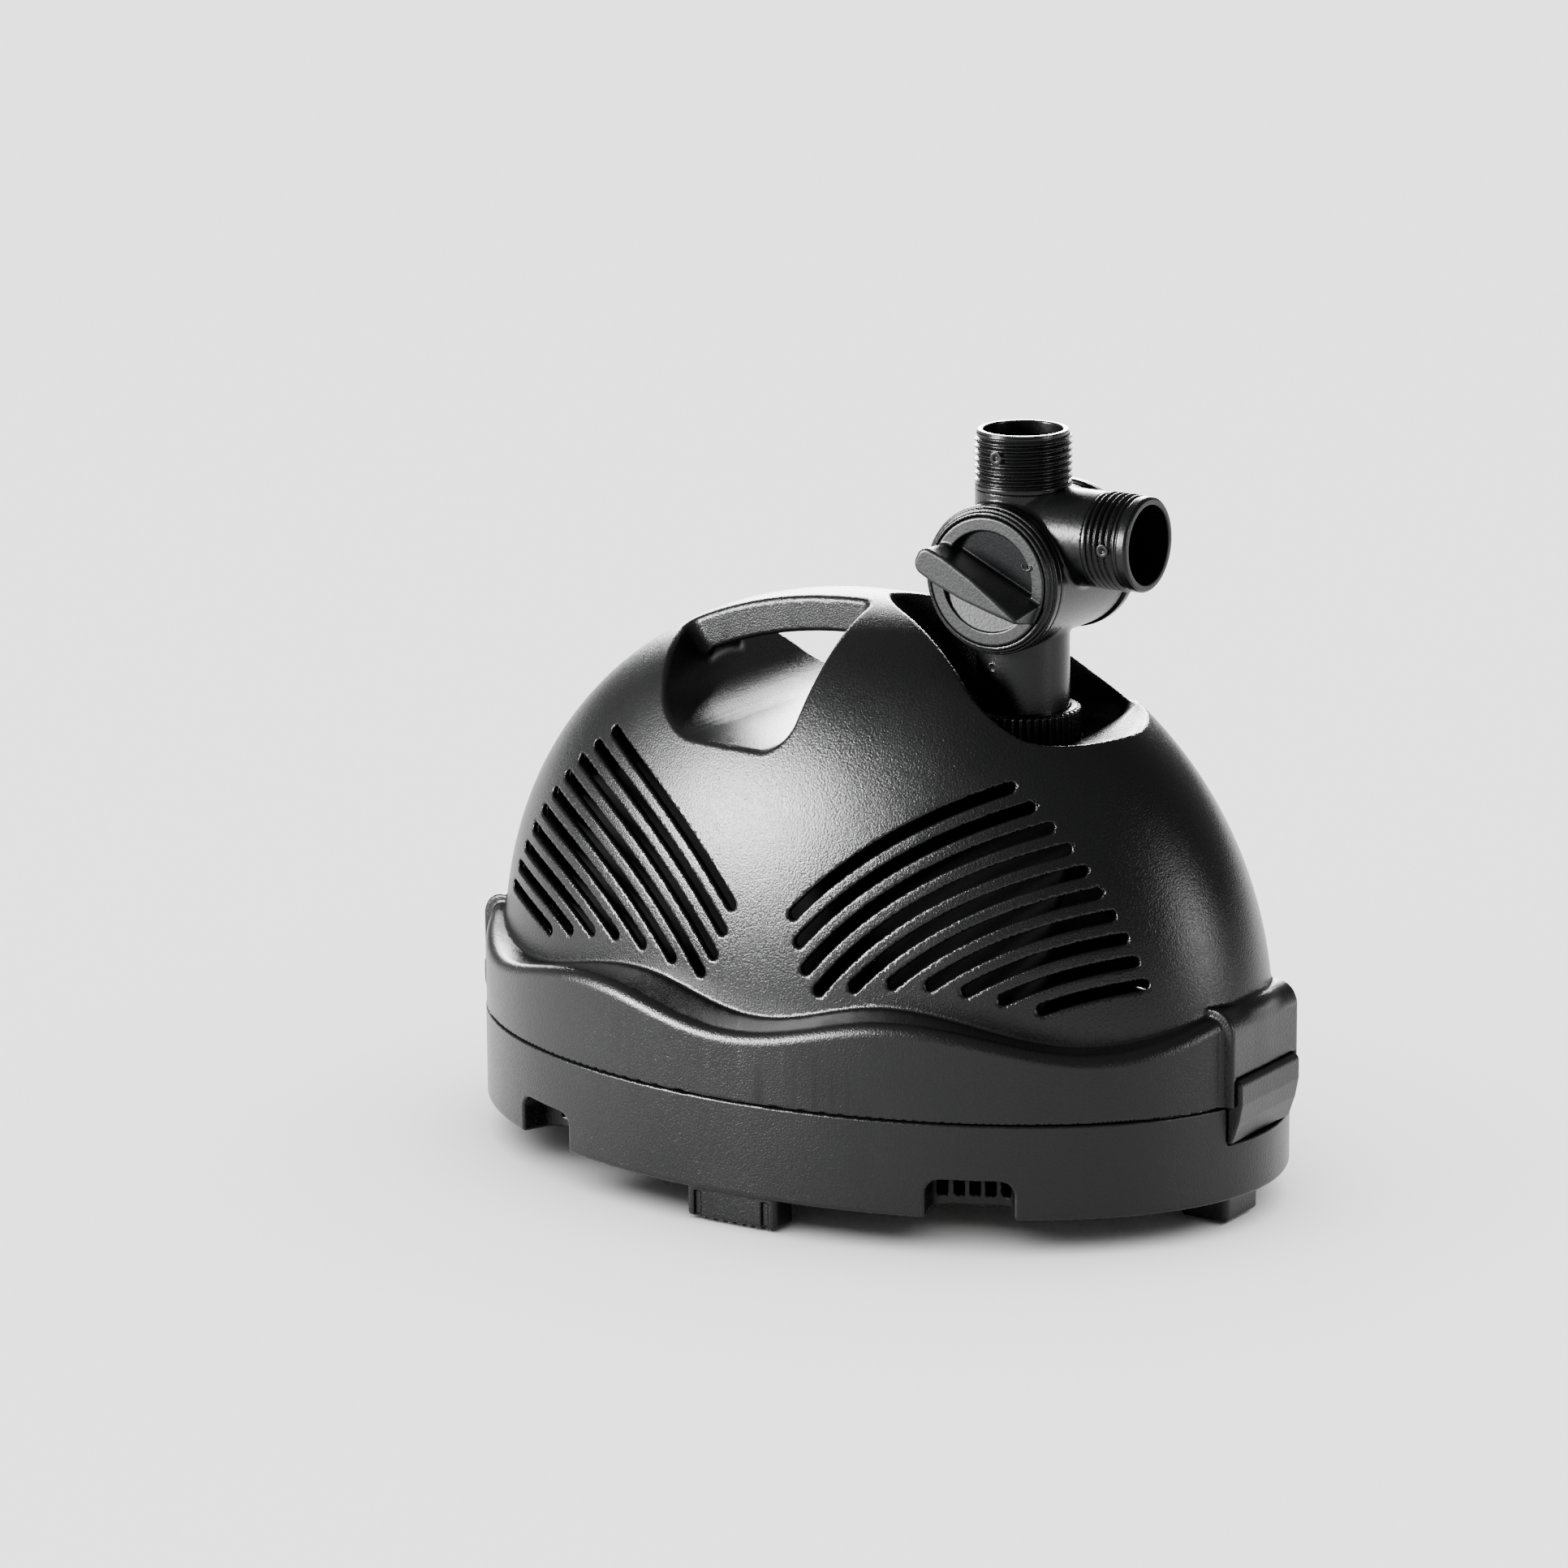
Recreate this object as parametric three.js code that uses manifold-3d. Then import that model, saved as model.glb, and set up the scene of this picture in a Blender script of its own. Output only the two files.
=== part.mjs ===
// Fountain pump in a clamshell strainer housing, with its two-way diverter valve fitted.
// Millimetres, +Z up. The origin is on the ground under the middle of the housing, +X points to
// the valve end, and -Y is the long side that the valve's dial faces.
import * as THREE from 'three';
import { mergeVertices } from 'three/addons/utils/BufferGeometryUtils.js';
import Module from 'manifold-3d';

const wasm = await Module();
wasm.setup();

// ---- Driving dimensions ----

// Housing
const RIM_X = 152.4;
const RIM_Y = 100.5;
const PARTING_Z = 45.5;
const DOME_X = 149.1;
const DOME_Y = 79.75;
const DOME_BASE_Z = 61.3;
const DOME_HEIGHT = 140.2;
const DOME_POWER = 2.1;
const WALL = 3;
const GAP = 0.3;
const FLOOR_Z = 12.5;
const BELLY_RADIUS = 1.2;

// The skirt's top edge rises and falls: degrees round the rim from +X, and height
const SKIRT_WAVE = [
  { angle: 0, z: 80 },
  { angle: 36, z: 68.8 },
  { angle: 66, z: 78.4 },
  { angle: 90, z: 69.6 },
];
const SKIRT_ROUND = 4.5;
const BOSS_HALF_WIDTH = 22.8;
const BOSS_TOP_Z = 76;

// Strainer slots: arcs about one centre, seen from the long side
const SLOT_COUNT = 10;
const SLOT_CENTRE_X = 140;
const SLOT_CENTRE_Z = -8;
const SLOT_FIRST_RADIUS = 171.2;
const SLOT_PITCH = 8.13;
const SLOT_WIDTH = 3.7;
const SLOT_UPPER_ANGLE = 110.3;
const SLOT_ANGLE_STEP = -1.84;
const SLOT_ANGLE_BEND = 0.0383;
const SLOT_MIDDLE_X = 11.5;
const SLOT_MIDDLE_STEP = 3.05;
const SLOT_ABOVE_SKIRT = 8;

// Carrying handle: a tunnel across the top of the dome, under a bar
const HANDLE_RIGHT_TOP_X = 6;
const HANDLE_RIGHT_X = 0;
const HANDLE_LEFT_X = -53;
const HANDLE_LEFT_TOP_X = -92;
const HANDLE_FLOOR_Z = 156.8;
const HANDLE_TOP_Z = 215;
const HANDLE_CORNER = 11;
const BAR_DEPTH = 12.5;
const BAR_HALF_WIDTH = 10;

// Pocket for the valve
const POCKET_X = 70;
const POCKET_RADIUS = 35.5;
const POCKET_APEX_X = -5;
const POCKET_FLOOR_Z = 158.5;
const POCKET_LIP_Z = 163.2;
const RAMP_TOP_X = 4;
const RAMP_TOP_Z = 200;
const NUT_HOLE_RADIUS = 21.2;

// Openings low in the lower shell, and its feet
const ARCH_ANGLE = 55.7;
const ARCH_HALF_WIDTH = 15;
const ARCH_TOP_Z = 26;
const ARCH_DEPTH = 16;
const ARCH_SLOTS = 5;
const PAD_HEIGHT = 3;

// Valve
const VALVE_X = 57.5;
const VALVE_TOP_Z = 264.5;
const DRUM_Z = 216;
const DRUM_RADIUS = 24.8;
const DRUM_FRONT_Y = -18;
const DRUM_BACK_Y = 29.5;
const PLUG_RADIUS = 19;
const SIDE_Z = 229.5;
const SIDE_END_X = 106.3;
const THREAD_RADIUS = 16.6;
const THREAD_PITCH = 2.309;
const THREAD_DEPTH = 1.15;
const RISER_THREAD_TURNS = 8;
const SIDE_THREAD_TURNS = 7;
const BORE_RADIUS = 13.5;
const SPIGOT_RADIUS = 15.9;
const SPIGOT_END_Z = 163.8;
const COLLAR_HEIGHT = 2.5;
const NUT_BOTTOM_Z = 155.5;
const NUT_TOP_Z = 168.5;
const NUT_RADIUS = 20;
const NUT_TEETH = 44;
const DIAL_RADIUS = 22;
const DIAL_FACE_Y = -24;
const BEZEL_RADIUS = 25.6;
const GRIP_ANGLE = -25.6;
const GRIP_HEIGHT = 14;
const GRIP_HALF_LENGTH = 21.5;
const GRIP_WIDE = 4.6;
const GRIP_NARROW = 1.4;

// Motor and pump on one level axis along X
const AXIS_Z = 66;
const MOTOR_RADIUS = 44;
const MOTOR_REAR_X = -60;
const MOTOR_FRONT_X = 30;
const CAN_RADIUS = 17;
const CAN_WALL = 1.5;
const ROTOR_RADIUS = 14.8;
const SHAFT_RADIUS = 2;
const CHAMBER_BACK_X = 40;
const CHAMBER_FRONT_X = 74;
const CHAMBER_RADIUS = 36;
const FLANGE_RADIUS = 43.5;
const SCREW_CIRCLE = 39.5;
const IMPELLER_RADIUS = 26;
const IMPELLER_BLADES = 6;
const OUTLET_TOP_Z = 161;
const INTAKE_RADIUS = 13;
const LUG_X = [-44, 14];
const LUG_Y = 52;
const LUG_Z = 62;

// Cowl that leads the strained water past the motor to cool it
const COWL_REAR_X = -98;
const COWL_FRONT_X = 98;
const COWL_HALF_WIDTH = 53;
const COWL_EDGE_Z = 71;
const COWL_TOP_Z = 147;
const COWL_WALL = 2.5;

// Facets
const DOME_SEGMENTS = 40;
const DOME_RINGS = 7;
const INNER_SEGMENTS = 24;
const INNER_RINGS = 4;
const RIM_SEGMENTS = 44;
const ROUND = 24;
const THREAD_SEGMENTS = 16;
const SMALL = 8;

// ---- Materials ----

function plastic(color, roughness) {
  return new THREE.MeshStandardMaterial({ color, roughness, metalness: 0 });
}

function metal(color, roughness) {
  return new THREE.MeshStandardMaterial({ color, roughness, metalness: 1 });
}

const shellPlastic = () => plastic(0x1d1e20, 0.48);
const valvePlastic = () => plastic(0x161719, 0.36);
const dialPlastic = () => plastic(0x2a2b2e, 0.42);
const innerPlastic = () => plastic(0x24262a, 0.5);
const rubber = () => plastic(0x0e0e0f, 0.85);
const resin = () => plastic(0x15171c, 0.3);
const steel = () => metal(0xb9bcc0, 0.3);
const laminations = () => metal(0x5d6066, 0.55);
const copper = () => metal(0xb5652f, 0.35);
const ceramic = () => plastic(0xe9e6df, 0.25);
const ferrite = () => plastic(0x2b2c30, 0.6);

// ---- Geometry helpers ----

function radians(degrees) {
  return THREE.MathUtils.degToRad(degrees);
}

/** Turns a closed three.js geometry into a solid, with its faces pointing out. */
function solid(geometry) {
  const bare = geometry.clone();
  bare.deleteAttribute('normal');
  bare.deleteAttribute('uv');
  const merged = mergeVertices(bare, 1e-4);
  const points = merged.attributes.position.array;
  const corners = merged.index.array;
  const kept = [];
  let volume = 0;
  for (let i = 0; i < corners.length; i += 3) {
    const [a, b, c] = corners.slice(i, i + 3);
    if (a === b || b === c || c === a) continue;
    kept.push(a, b, c);
    const [pa, pb, pc] = [a, b, c].map((n) => new THREE.Vector3().fromArray(points, 3 * n));
    volume += pa.dot(pb.cross(pc));
  }
  if (volume < 0) kept.reverse();
  const mesh = { numProp: 3, vertProperties: new Float32Array(points), triVerts: new Uint32Array(kept) };
  return new wasm.Manifold(new wasm.Mesh(mesh));
}

function join(...solids) {
  return solids.reduce((whole, next) => whole.add(next));
}

/** One named mesh made from a solid. */
function piece(name, body, material) {
  const { vertProperties, triVerts } = body.getMesh();
  const geometry = new THREE.BufferGeometry();
  geometry.setAttribute('position', new THREE.BufferAttribute(new Float32Array(vertProperties), 3));
  geometry.setIndex(new THREE.BufferAttribute(new Uint32Array(triVerts), 1));
  geometry.computeVertexNormals();
  const mesh = new THREE.Mesh(geometry, material);
  mesh.name = name;
  return mesh;
}

function box(x0, x1, y0, y1, z0, z1) {
  const geometry = new THREE.BoxGeometry(x1 - x0, y1 - y0, z1 - z0);
  geometry.translate((x0 + x1) / 2, (y0 + y1) / 2, (z0 + z1) / 2);
  return solid(geometry);
}

/** Turns a profile of [radius, height] pairs about an axis that runs along 'x', 'y' or 'z'. */
function turned(profile, axis, centre, segments = ROUND) {
  const closed = profile.some(([radius]) => radius === 0) ? profile : [...profile, profile[0]];
  const points = closed.map(([radius, height]) => new THREE.Vector2(radius, height));
  const geometry = new THREE.LatheGeometry(points, segments);
  if (axis === 'x') geometry.rotateZ(-Math.PI / 2);
  if (axis === 'z') geometry.rotateX(Math.PI / 2);
  geometry.translate(...centre);
  return solid(geometry);
}

function rod(radius, from, to, axis, centre, segments = ROUND) {
  return turned([[0, from], [radius, from], [radius, to], [0, to]], axis, centre, segments);
}

function tube(outer, inner, from, to, axis, centre, segments = ROUND) {
  return turned([[inner, from], [outer, from], [outer, to], [inner, to]], axis, centre, segments);
}

/** Extrudes an outline drawn in the XZ plane from y0 to y1. */
function alongY(points, y0, y1, curveSegments = 3) {
  const shape = points instanceof THREE.Shape ? points : new THREE.Shape(points);
  const geometry = new THREE.ExtrudeGeometry(shape, {
    depth: y1 - y0,
    bevelEnabled: false,
    curveSegments,
  });
  geometry.rotateX(Math.PI / 2);
  geometry.translate(0, y1, 0);
  return solid(geometry);
}

/** Extrudes an outline drawn in the XY plane from z0 to z1. */
function alongZ(points, z0, z1) {
  const geometry = new THREE.ExtrudeGeometry(new THREE.Shape(points), {
    depth: z1 - z0,
    bevelEnabled: false,
  });
  geometry.translate(0, 0, z0);
  return solid(geometry);
}

/** Skins a stack of rings, from the lowest to the highest, and closes both ends to a point. */
function lofted(rings) {
  const count = rings[0].length;
  const centreOf = (ring) => ring.reduce((sum, p) => sum.add(p), new THREE.Vector3()).divideScalar(count);
  const points = [...rings.flat(), centreOf(rings[0]), centreOf(rings.at(-1))];
  const lowCentre = count * rings.length;
  const highCentre = lowCentre + 1;
  const lastRing = count * (rings.length - 1);
  const index = [];
  for (let i = 0; i < count; i += 1) {
    const next = (i + 1) % count;
    index.push(lowCentre, next, i);
    index.push(highCentre, lastRing + i, lastRing + next);
    for (let r = 0; r + 1 < rings.length; r += 1) {
      const a = r * count + i;
      const b = r * count + next;
      index.push(a, b, b + count);
      index.push(a, b + count, a + count);
    }
  }
  const geometry = new THREE.BufferGeometry();
  const flat = new Float32Array(points.flatMap((p) => p.toArray()));
  geometry.setAttribute('position', new THREE.BufferAttribute(flat, 3));
  geometry.setIndex(index);
  return solid(geometry);
}

/** An oval ring; z is a height, or a function of the angle round the rim. */
function oval(halfX, halfY, z, segments = RIM_SEGMENTS) {
  const ring = [];
  for (let i = 0; i < segments; i += 1) {
    const angle = (2 * Math.PI * i) / segments;
    const height = typeof z === 'function' ? z(angle) : z;
    ring.push(new THREE.Vector3(halfX * Math.cos(angle), halfY * Math.sin(angle), height));
  }
  return ring;
}

// ---- Housing shapes ----

/** Height of the skirt's top edge at an angle round the rim. */
function skirtTop(angle) {
  const folded = Math.acos(Math.abs(Math.cos(angle))) / radians(1);
  const next = Math.max(1, SKIRT_WAVE.findIndex((knot) => knot.angle >= folded - 1e-6));
  const [low, high] = [SKIRT_WAVE[next - 1], SKIRT_WAVE[next]];
  const share = (folded - low.angle) / (high.angle - low.angle);
  return THREE.MathUtils.lerp(low.z, high.z, (1 - Math.cos(Math.PI * share)) / 2);
}

/** The dome as a full solid down to a level bottom, everywhere inset by the same amount. */
function dome(inset, bottom, segments = DOME_SEGMENTS, rings = DOME_RINGS) {
  const height = DOME_HEIGHT - inset;
  const power = 2 / DOME_POWER;
  const profile = [[0, DOME_BASE_Z + height]];
  for (let i = 1; i <= rings; i += 1) {
    const angle = (Math.PI / 2) * (1 - i / rings);
    const radius = i === rings ? 1 : Math.cos(angle) ** power;
    profile.push([radius, DOME_BASE_Z + height * Math.sin(angle) ** power]);
  }
  profile.push([1, bottom], [0, bottom]);
  const points = profile.map(([radius, z]) => new THREE.Vector2(radius, z));
  const geometry = new THREE.LatheGeometry(points, segments);
  geometry.rotateX(Math.PI / 2);
  geometry.scale(DOME_X - inset, DOME_Y - inset, 1);
  return solid(geometry);
}

/** The skirt as a full solid, with a rounded top edge that rises and falls. */
function skirt(bottom) {
  const r = SKIRT_ROUND;
  const bend = r * (1 - Math.SQRT1_2);
  const top = (drop) => (angle) => skirtTop(angle) - drop;
  return lofted([
    oval(RIM_X, RIM_Y, bottom),
    oval(RIM_X - 0.5, RIM_Y - 0.5, top(r)),
    oval(RIM_X - bend - 0.5, RIM_Y - bend - 0.5, top(bend)),
    oval(RIM_X - r - 0.5, RIM_Y - r - 0.5, top(0)),
    oval(DOME_X - 12, DOME_Y - 6, top(0)),
  ]);
}

/** The room inside the skirt. */
function skirtRoom() {
  const top = (angle) => skirtTop(angle) - WALL - 1;
  const x = RIM_X - WALL;
  const y = RIM_Y - WALL;
  return lofted([
    oval(x, y, 0, INNER_SEGMENTS),
    oval(x - 0.5, y - 0.5, (angle) => top(angle) - 3, INNER_SEGMENTS),
    oval(x - 4, y - 4, top, INNER_SEGMENTS),
    oval(DOME_X - 20, DOME_Y - 12, top, INNER_SEGMENTS),
  ]);
}

/** The tunnel under the carrying bar, as one block through the dome. */
function handleBlock(grow) {
  const floor = HANDLE_FLOOR_Z - grow;
  const right = HANDLE_RIGHT_X + grow;
  const left = HANDLE_LEFT_X - grow;
  const slope = (HANDLE_LEFT_TOP_X - HANDLE_LEFT_X) / (HANDLE_TOP_Z - HANDLE_FLOOR_Z);
  const corner = HANDLE_CORNER;
  const shape = new THREE.Shape();
  shape.moveTo(HANDLE_RIGHT_TOP_X + grow, HANDLE_TOP_Z);
  shape.lineTo(right, floor + corner);
  shape.quadraticCurveTo(right, floor, right - corner, floor);
  shape.lineTo(left + corner, floor);
  shape.quadraticCurveTo(left, floor, left + corner * slope, floor + corner);
  shape.lineTo(HANDLE_LEFT_TOP_X - grow, HANDLE_TOP_Z);
  return alongY(shape, -RIM_Y, RIM_Y);
}

/** The pocket that the valve stands in: round at the valve, narrowing up a ramp to the ridge. */
function pocketBlock(grow) {
  const radius = POCKET_RADIUS + grow;
  const apex = POCKET_APEX_X - grow;
  const reach = Math.acos(radius / (POCKET_X - apex));
  const outline = [new THREE.Vector2(apex, 0)];
  const steps = 18;
  for (let i = 0; i <= steps; i += 1) {
    const angle = Math.PI + reach + (2 * (Math.PI - reach) * i) / steps;
    const x = POCKET_X + radius * Math.cos(angle);
    outline.push(new THREE.Vector2(x, radius * Math.sin(angle)));
  }
  const floor = POCKET_FLOOR_Z - grow;
  const rampBottomX = RAMP_TOP_X + RAMP_TOP_Z - POCKET_FLOOR_Z;
  const side = [
    new THREE.Vector2(RAMP_TOP_X - 30, RAMP_TOP_Z - grow + 30),
    new THREE.Vector2(rampBottomX - grow * 0.4, floor),
    new THREE.Vector2(VALVE_X + NUT_HOLE_RADIUS, floor),
    new THREE.Vector2(POCKET_X + POCKET_RADIUS, POCKET_LIP_Z - grow),
    new THREE.Vector2(RIM_X, POCKET_LIP_Z - grow),
    new THREE.Vector2(RIM_X, RAMP_TOP_Z + 30),
  ];
  return alongZ(outline, 140, RAMP_TOP_Z + 20).intersect(alongY(side, -RIM_Y, RIM_Y));
}

/** One strainer slot seen from the long side, as a bent strip; k counts from the longest. */
function slotOutline(k, side) {
  const radius = SLOT_FIRST_RADIUS - SLOT_PITCH * k;
  const at = (r, degrees) => {
    const angle = radians(degrees);
    return new THREE.Vector2(SLOT_CENTRE_X + r * Math.cos(angle), SLOT_CENTRE_Z + r * Math.sin(angle));
  };
  const upper = SLOT_UPPER_ANGLE + SLOT_ANGLE_STEP * k + SLOT_ANGLE_BEND * k * k;
  let lower = upper;
  const clear = (p) => {
    const rim = Math.acos(Math.min(1, p.x / DOME_X));
    return p.x > SLOT_MIDDLE_X + SLOT_MIDDLE_STEP * k && p.y > skirtTop(rim) + SLOT_ABOVE_SKIRT;
  };
  while (clear(at(radius, lower))) lower += 0.25;
  const steps = Math.max(2, Math.round((lower - upper) / 8.5));
  const outer = [];
  const inner = [];
  for (let i = 0; i <= steps; i += 1) {
    const degrees = upper + ((lower - upper) * i) / steps;
    outer.push(at(radius + SLOT_WIDTH / 2, degrees));
    inner.unshift(at(radius - SLOT_WIDTH / 2, degrees));
  }
  const tip = radians(1) * radius;
  const ends = [at(radius, lower + SLOT_WIDTH / 3 / tip), at(radius, upper - SLOT_WIDTH / 3 / tip)];
  const outline = [...outer, ends[0], ...inner, ends[1]];
  return outline.map((p) => new THREE.Vector2(side * p.x, p.y));
}

function slots() {
  const cutters = [];
  for (const side of [-1, 1]) {
    for (let k = 0; k < SLOT_COUNT; k += 1) {
      cutters.push(alongY(slotOutline(k, side), -RIM_Y, -20));
      cutters.push(alongY(slotOutline(k, side), 20, RIM_Y));
    }
  }
  return join(...cutters);
}

/** Room for the end latch in both shells, at the +X end or the -X end. */
function latchRoom(end) {
  const [near, far] = [148.5 * end, (RIM_X + 10) * end].sort((a, b) => a - b);
  return box(near, far, -LATCH_HALF_WIDTH - GAP, LATCH_HALF_WIDTH + GAP, LATCH_FOOT_Z - GAP, LATCH_TOP_Z + GAP);
}

const LATCH_HALF_WIDTH = 20.3;
const LATCH_FOOT_Z = 32.5;
const LATCH_TOP_Z = 55.2;

function latchBacking(end, z0, z1) {
  const [near, far] = [143 * end, 148.2 * end].sort((a, b) => a - b);
  return box(near, far, -BOSS_HALF_WIDTH, BOSS_HALF_WIDTH, z0, z1);
}

function endBoss(end) {
  const tip = RIM_X * end;
  const side = [
    new THREE.Vector2(130 * end, PARTING_Z + GAP / 2),
    new THREE.Vector2(tip, PARTING_Z + GAP / 2),
    new THREE.Vector2(tip - 0.4 * end, BOSS_TOP_Z - 5),
    new THREE.Vector2(tip - 2 * end, BOSS_TOP_Z - 1),
    new THREE.Vector2(tip - 6 * end, BOSS_TOP_Z + 2),
    new THREE.Vector2(tip - 12 * end, BOSS_TOP_Z + 5),
    new THREE.Vector2(130 * end, BOSS_TOP_Z + 5),
  ];
  return alongY(side, -BOSS_HALF_WIDTH, BOSS_HALF_WIDTH);
}

// ---- Housing pieces ----

function upperShell() {
  const bottom = PARTING_Z + GAP / 2;
  const outside = join(dome(0, bottom), skirt(bottom), endBoss(1), endBoss(-1));
  const bar = box(-RIM_X, RIM_X, -BAR_HALF_WIDTH, BAR_HALF_WIDTH, HANDLE_FLOOR_Z, HANDLE_TOP_Z);
  const handle = handleBlock(0);
  const handleCut = handle.subtract(bar).add(handle.intersect(dome(BAR_DEPTH, bottom, INNER_SEGMENTS)));
  const inside = join(dome(WALL, 0, INNER_SEGMENTS, INNER_RINGS), skirtRoom());
  const room = inside.subtract(handleBlock(WALL)).subtract(pocketBlock(WALL));
  const nutHole = rod(NUT_HOLE_RADIUS, 120, 170, 'z', [VALVE_X, 0, 0]);
  const backing = join(latchBacking(1, bottom, 62), latchBacking(-1, bottom, 62));
  return outside
    .subtract(handleCut)
    .subtract(pocketBlock(0))
    .subtract(room)
    .add(backing)
    .subtract(nutHole)
    .subtract(slots())
    .subtract(latchRoom(1))
    .subtract(latchRoom(-1));
}

function tray(inset, top, segments = RIM_SEGMENTS) {
  const x = RIM_X - inset;
  const y = RIM_Y - inset;
  const floor = FLOOR_Z + inset;
  const r = Math.max(BELLY_RADIUS - inset / 2, 0.4);
  const bend = r * (1 - Math.SQRT1_2);
  return lofted([
    oval(x - r, y - r, floor, segments),
    oval(x - bend, y - bend, floor + bend, segments),
    oval(x, y, floor + r, segments),
    oval(x, y, top, segments),
  ]);
}

/** Runs one function at each of the four arches, with the arch's own frame as a matrix. */
function atArches(make) {
  const made = [];
  for (const sx of [-1, 1]) {
    for (const sy of [-1, 1]) {
      const angle = radians(ARCH_ANGLE);
      const x = sx * RIM_X * Math.cos(angle);
      const y = sy * RIM_Y * Math.sin(angle);
      const outward = Math.atan2(y / RIM_Y ** 2, x / RIM_X ** 2);
      made.push(make().rotate([0, 0, outward / radians(1)]).translate([x, y, 0]));
    }
  }
  return join(...made);
}

function archRoom(grow) {
  const half = ARCH_HALF_WIDTH + grow;
  const top = ARCH_TOP_Z + grow;
  return atArches(() => box(-ARCH_DEPTH - grow, 12, -half, half, 5, top - 4)
    .add(box(-ARCH_DEPTH - grow, 12, -half + 4, half - 4, 5, top)));
}

function archSlots() {
  const pitch = (2 * ARCH_HALF_WIDTH - 3) / ARCH_SLOTS;
  return atArches(() => {
    const bars = [];
    for (let i = 0; i < ARCH_SLOTS; i += 1) {
      const y = (i - (ARCH_SLOTS - 1) / 2) * pitch;
      bars.push(box(-ARCH_DEPTH - 2 * WALL, -ARCH_DEPTH + 1, y - 1.6, y + 1.6, FLOOR_Z + WALL + 1, ARCH_TOP_Z - 2));
    }
    return join(...bars);
  });
}

/** The four places where feet stand, each with its half sizes along X and Y. */
const FEET = [
  { name: 'front', x: 0, y: -91, halfX: 18, halfY: 6 },
  { name: 'rear', x: 0, y: 91, halfX: 18, halfY: 6 },
  { name: 'left', x: -135, y: 0, halfX: 9, halfY: 11 },
  { name: 'right', x: 135, y: 0, halfX: 9, halfY: 11 },
];

function footBlock({ x, y, halfX, halfY }, grow, z0, z1) {
  return box(x - halfX - grow, x + halfX + grow, y - halfY - grow, y + halfY + grow, z0, z1);
}

const GROMMET_X = -62;
const GROMMET_Y = 88;
const GROMMET_RADIUS = 8;

function lowerShell() {
  const bottom = PARTING_Z - GAP / 2;
  const outside = tray(0, bottom);
  const inside = tray(WALL, bottom + 1, INNER_SEGMENTS);
  let shell = outside.subtract(archRoom(0)).subtract(inside.subtract(archRoom(WALL)));
  for (const side of [-1, 1]) {
    const wall = (RIM_Y - WALL) * side;
    const [y0, y1] = [wall - 4 * side, wall + 0.5 * side].sort((p, q) => p - q);
    const [t0, t1] = [wall - 4 * side, wall - 1.9 * side].sort((p, q) => p - q);
    shell = shell.add(box(-14, 14, y0, y1, bottom - 10, bottom)).add(box(-14, 14, t0, t1, bottom - 8, bottom + 5));
  }
  for (const end of [-1, 1]) {
    shell = shell.add(latchBacking(end, 22, bottom)).subtract(latchRoom(end));
  }
  for (const foot of FEET) {
    shell = shell.add(footBlock(foot, 0, 1.5, FLOOR_Z + 1));
    shell = shell.subtract(footBlock(foot, -2.5, 0, PAD_HEIGHT + GAP));
  }
  for (const x of LUG_X) {
    for (const y of [-LUG_Y, LUG_Y]) {
      const post = turned([[0, FLOOR_Z + 1], [7, FLOOR_Z + 1], [5, LUG_Z - 4], [0, LUG_Z - 4]], 'z', [x, y, 0], SMALL);
      shell = shell.add(post).subtract(rod(1.6, LUG_Z - 24, LUG_Z, 'z', [x, y, 0], SMALL));
    }
  }
  const notch = join(
    rod(GROMMET_RADIUS - 1, -20, 20, 'y', [GROMMET_X, GROMMET_Y, PARTING_Z - 8], 16),
    box(GROMMET_X - GROMMET_RADIUS + 1, GROMMET_X + GROMMET_RADIUS - 1, GROMMET_Y - 20, GROMMET_Y + 20, PARTING_Z - 8, 60),
  );
  return shell.subtract(notch).subtract(archSlots());
}

function endLatch(end) {
  const side = [
    [149, LATCH_FOOT_Z],
    [150.6, LATCH_FOOT_Z],
    [153.2, 40],
    [154.5, 46.5],
    [154.5, 52.5],
    [153.7, 54.6],
    [151.8, LATCH_TOP_Z],
    [149, LATCH_TOP_Z],
  ].map(([x, z]) => new THREE.Vector2(x * end, z));
  return alongY(side, -LATCH_HALF_WIDTH, LATCH_HALF_WIDTH);
}

// ---- Valve ----

/** Outline of a threaded pipe wall from its plain start to its open end, as [radius, height]. */
function threadedWall(start, end, turns) {
  const length = turns * THREAD_PITCH;
  const outline = [[BORE_RADIUS, start], [THREAD_RADIUS - 0.25, start], [THREAD_RADIUS - 0.25, end - length - 0.6]];
  for (let i = 0; i < turns; i += 1) {
    const low = end - length + i * THREAD_PITCH;
    outline.push([THREAD_RADIUS - THREAD_DEPTH, low], [THREAD_RADIUS, low + THREAD_PITCH / 2]);
  }
  outline.push([THREAD_RADIUS - THREAD_DEPTH, end - 0.2], [THREAD_RADIUS - THREAD_DEPTH - 0.3, end]);
  outline.push([BORE_RADIUS + 0.8, end], [BORE_RADIUS, end - 1]);
  return outline;
}

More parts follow.
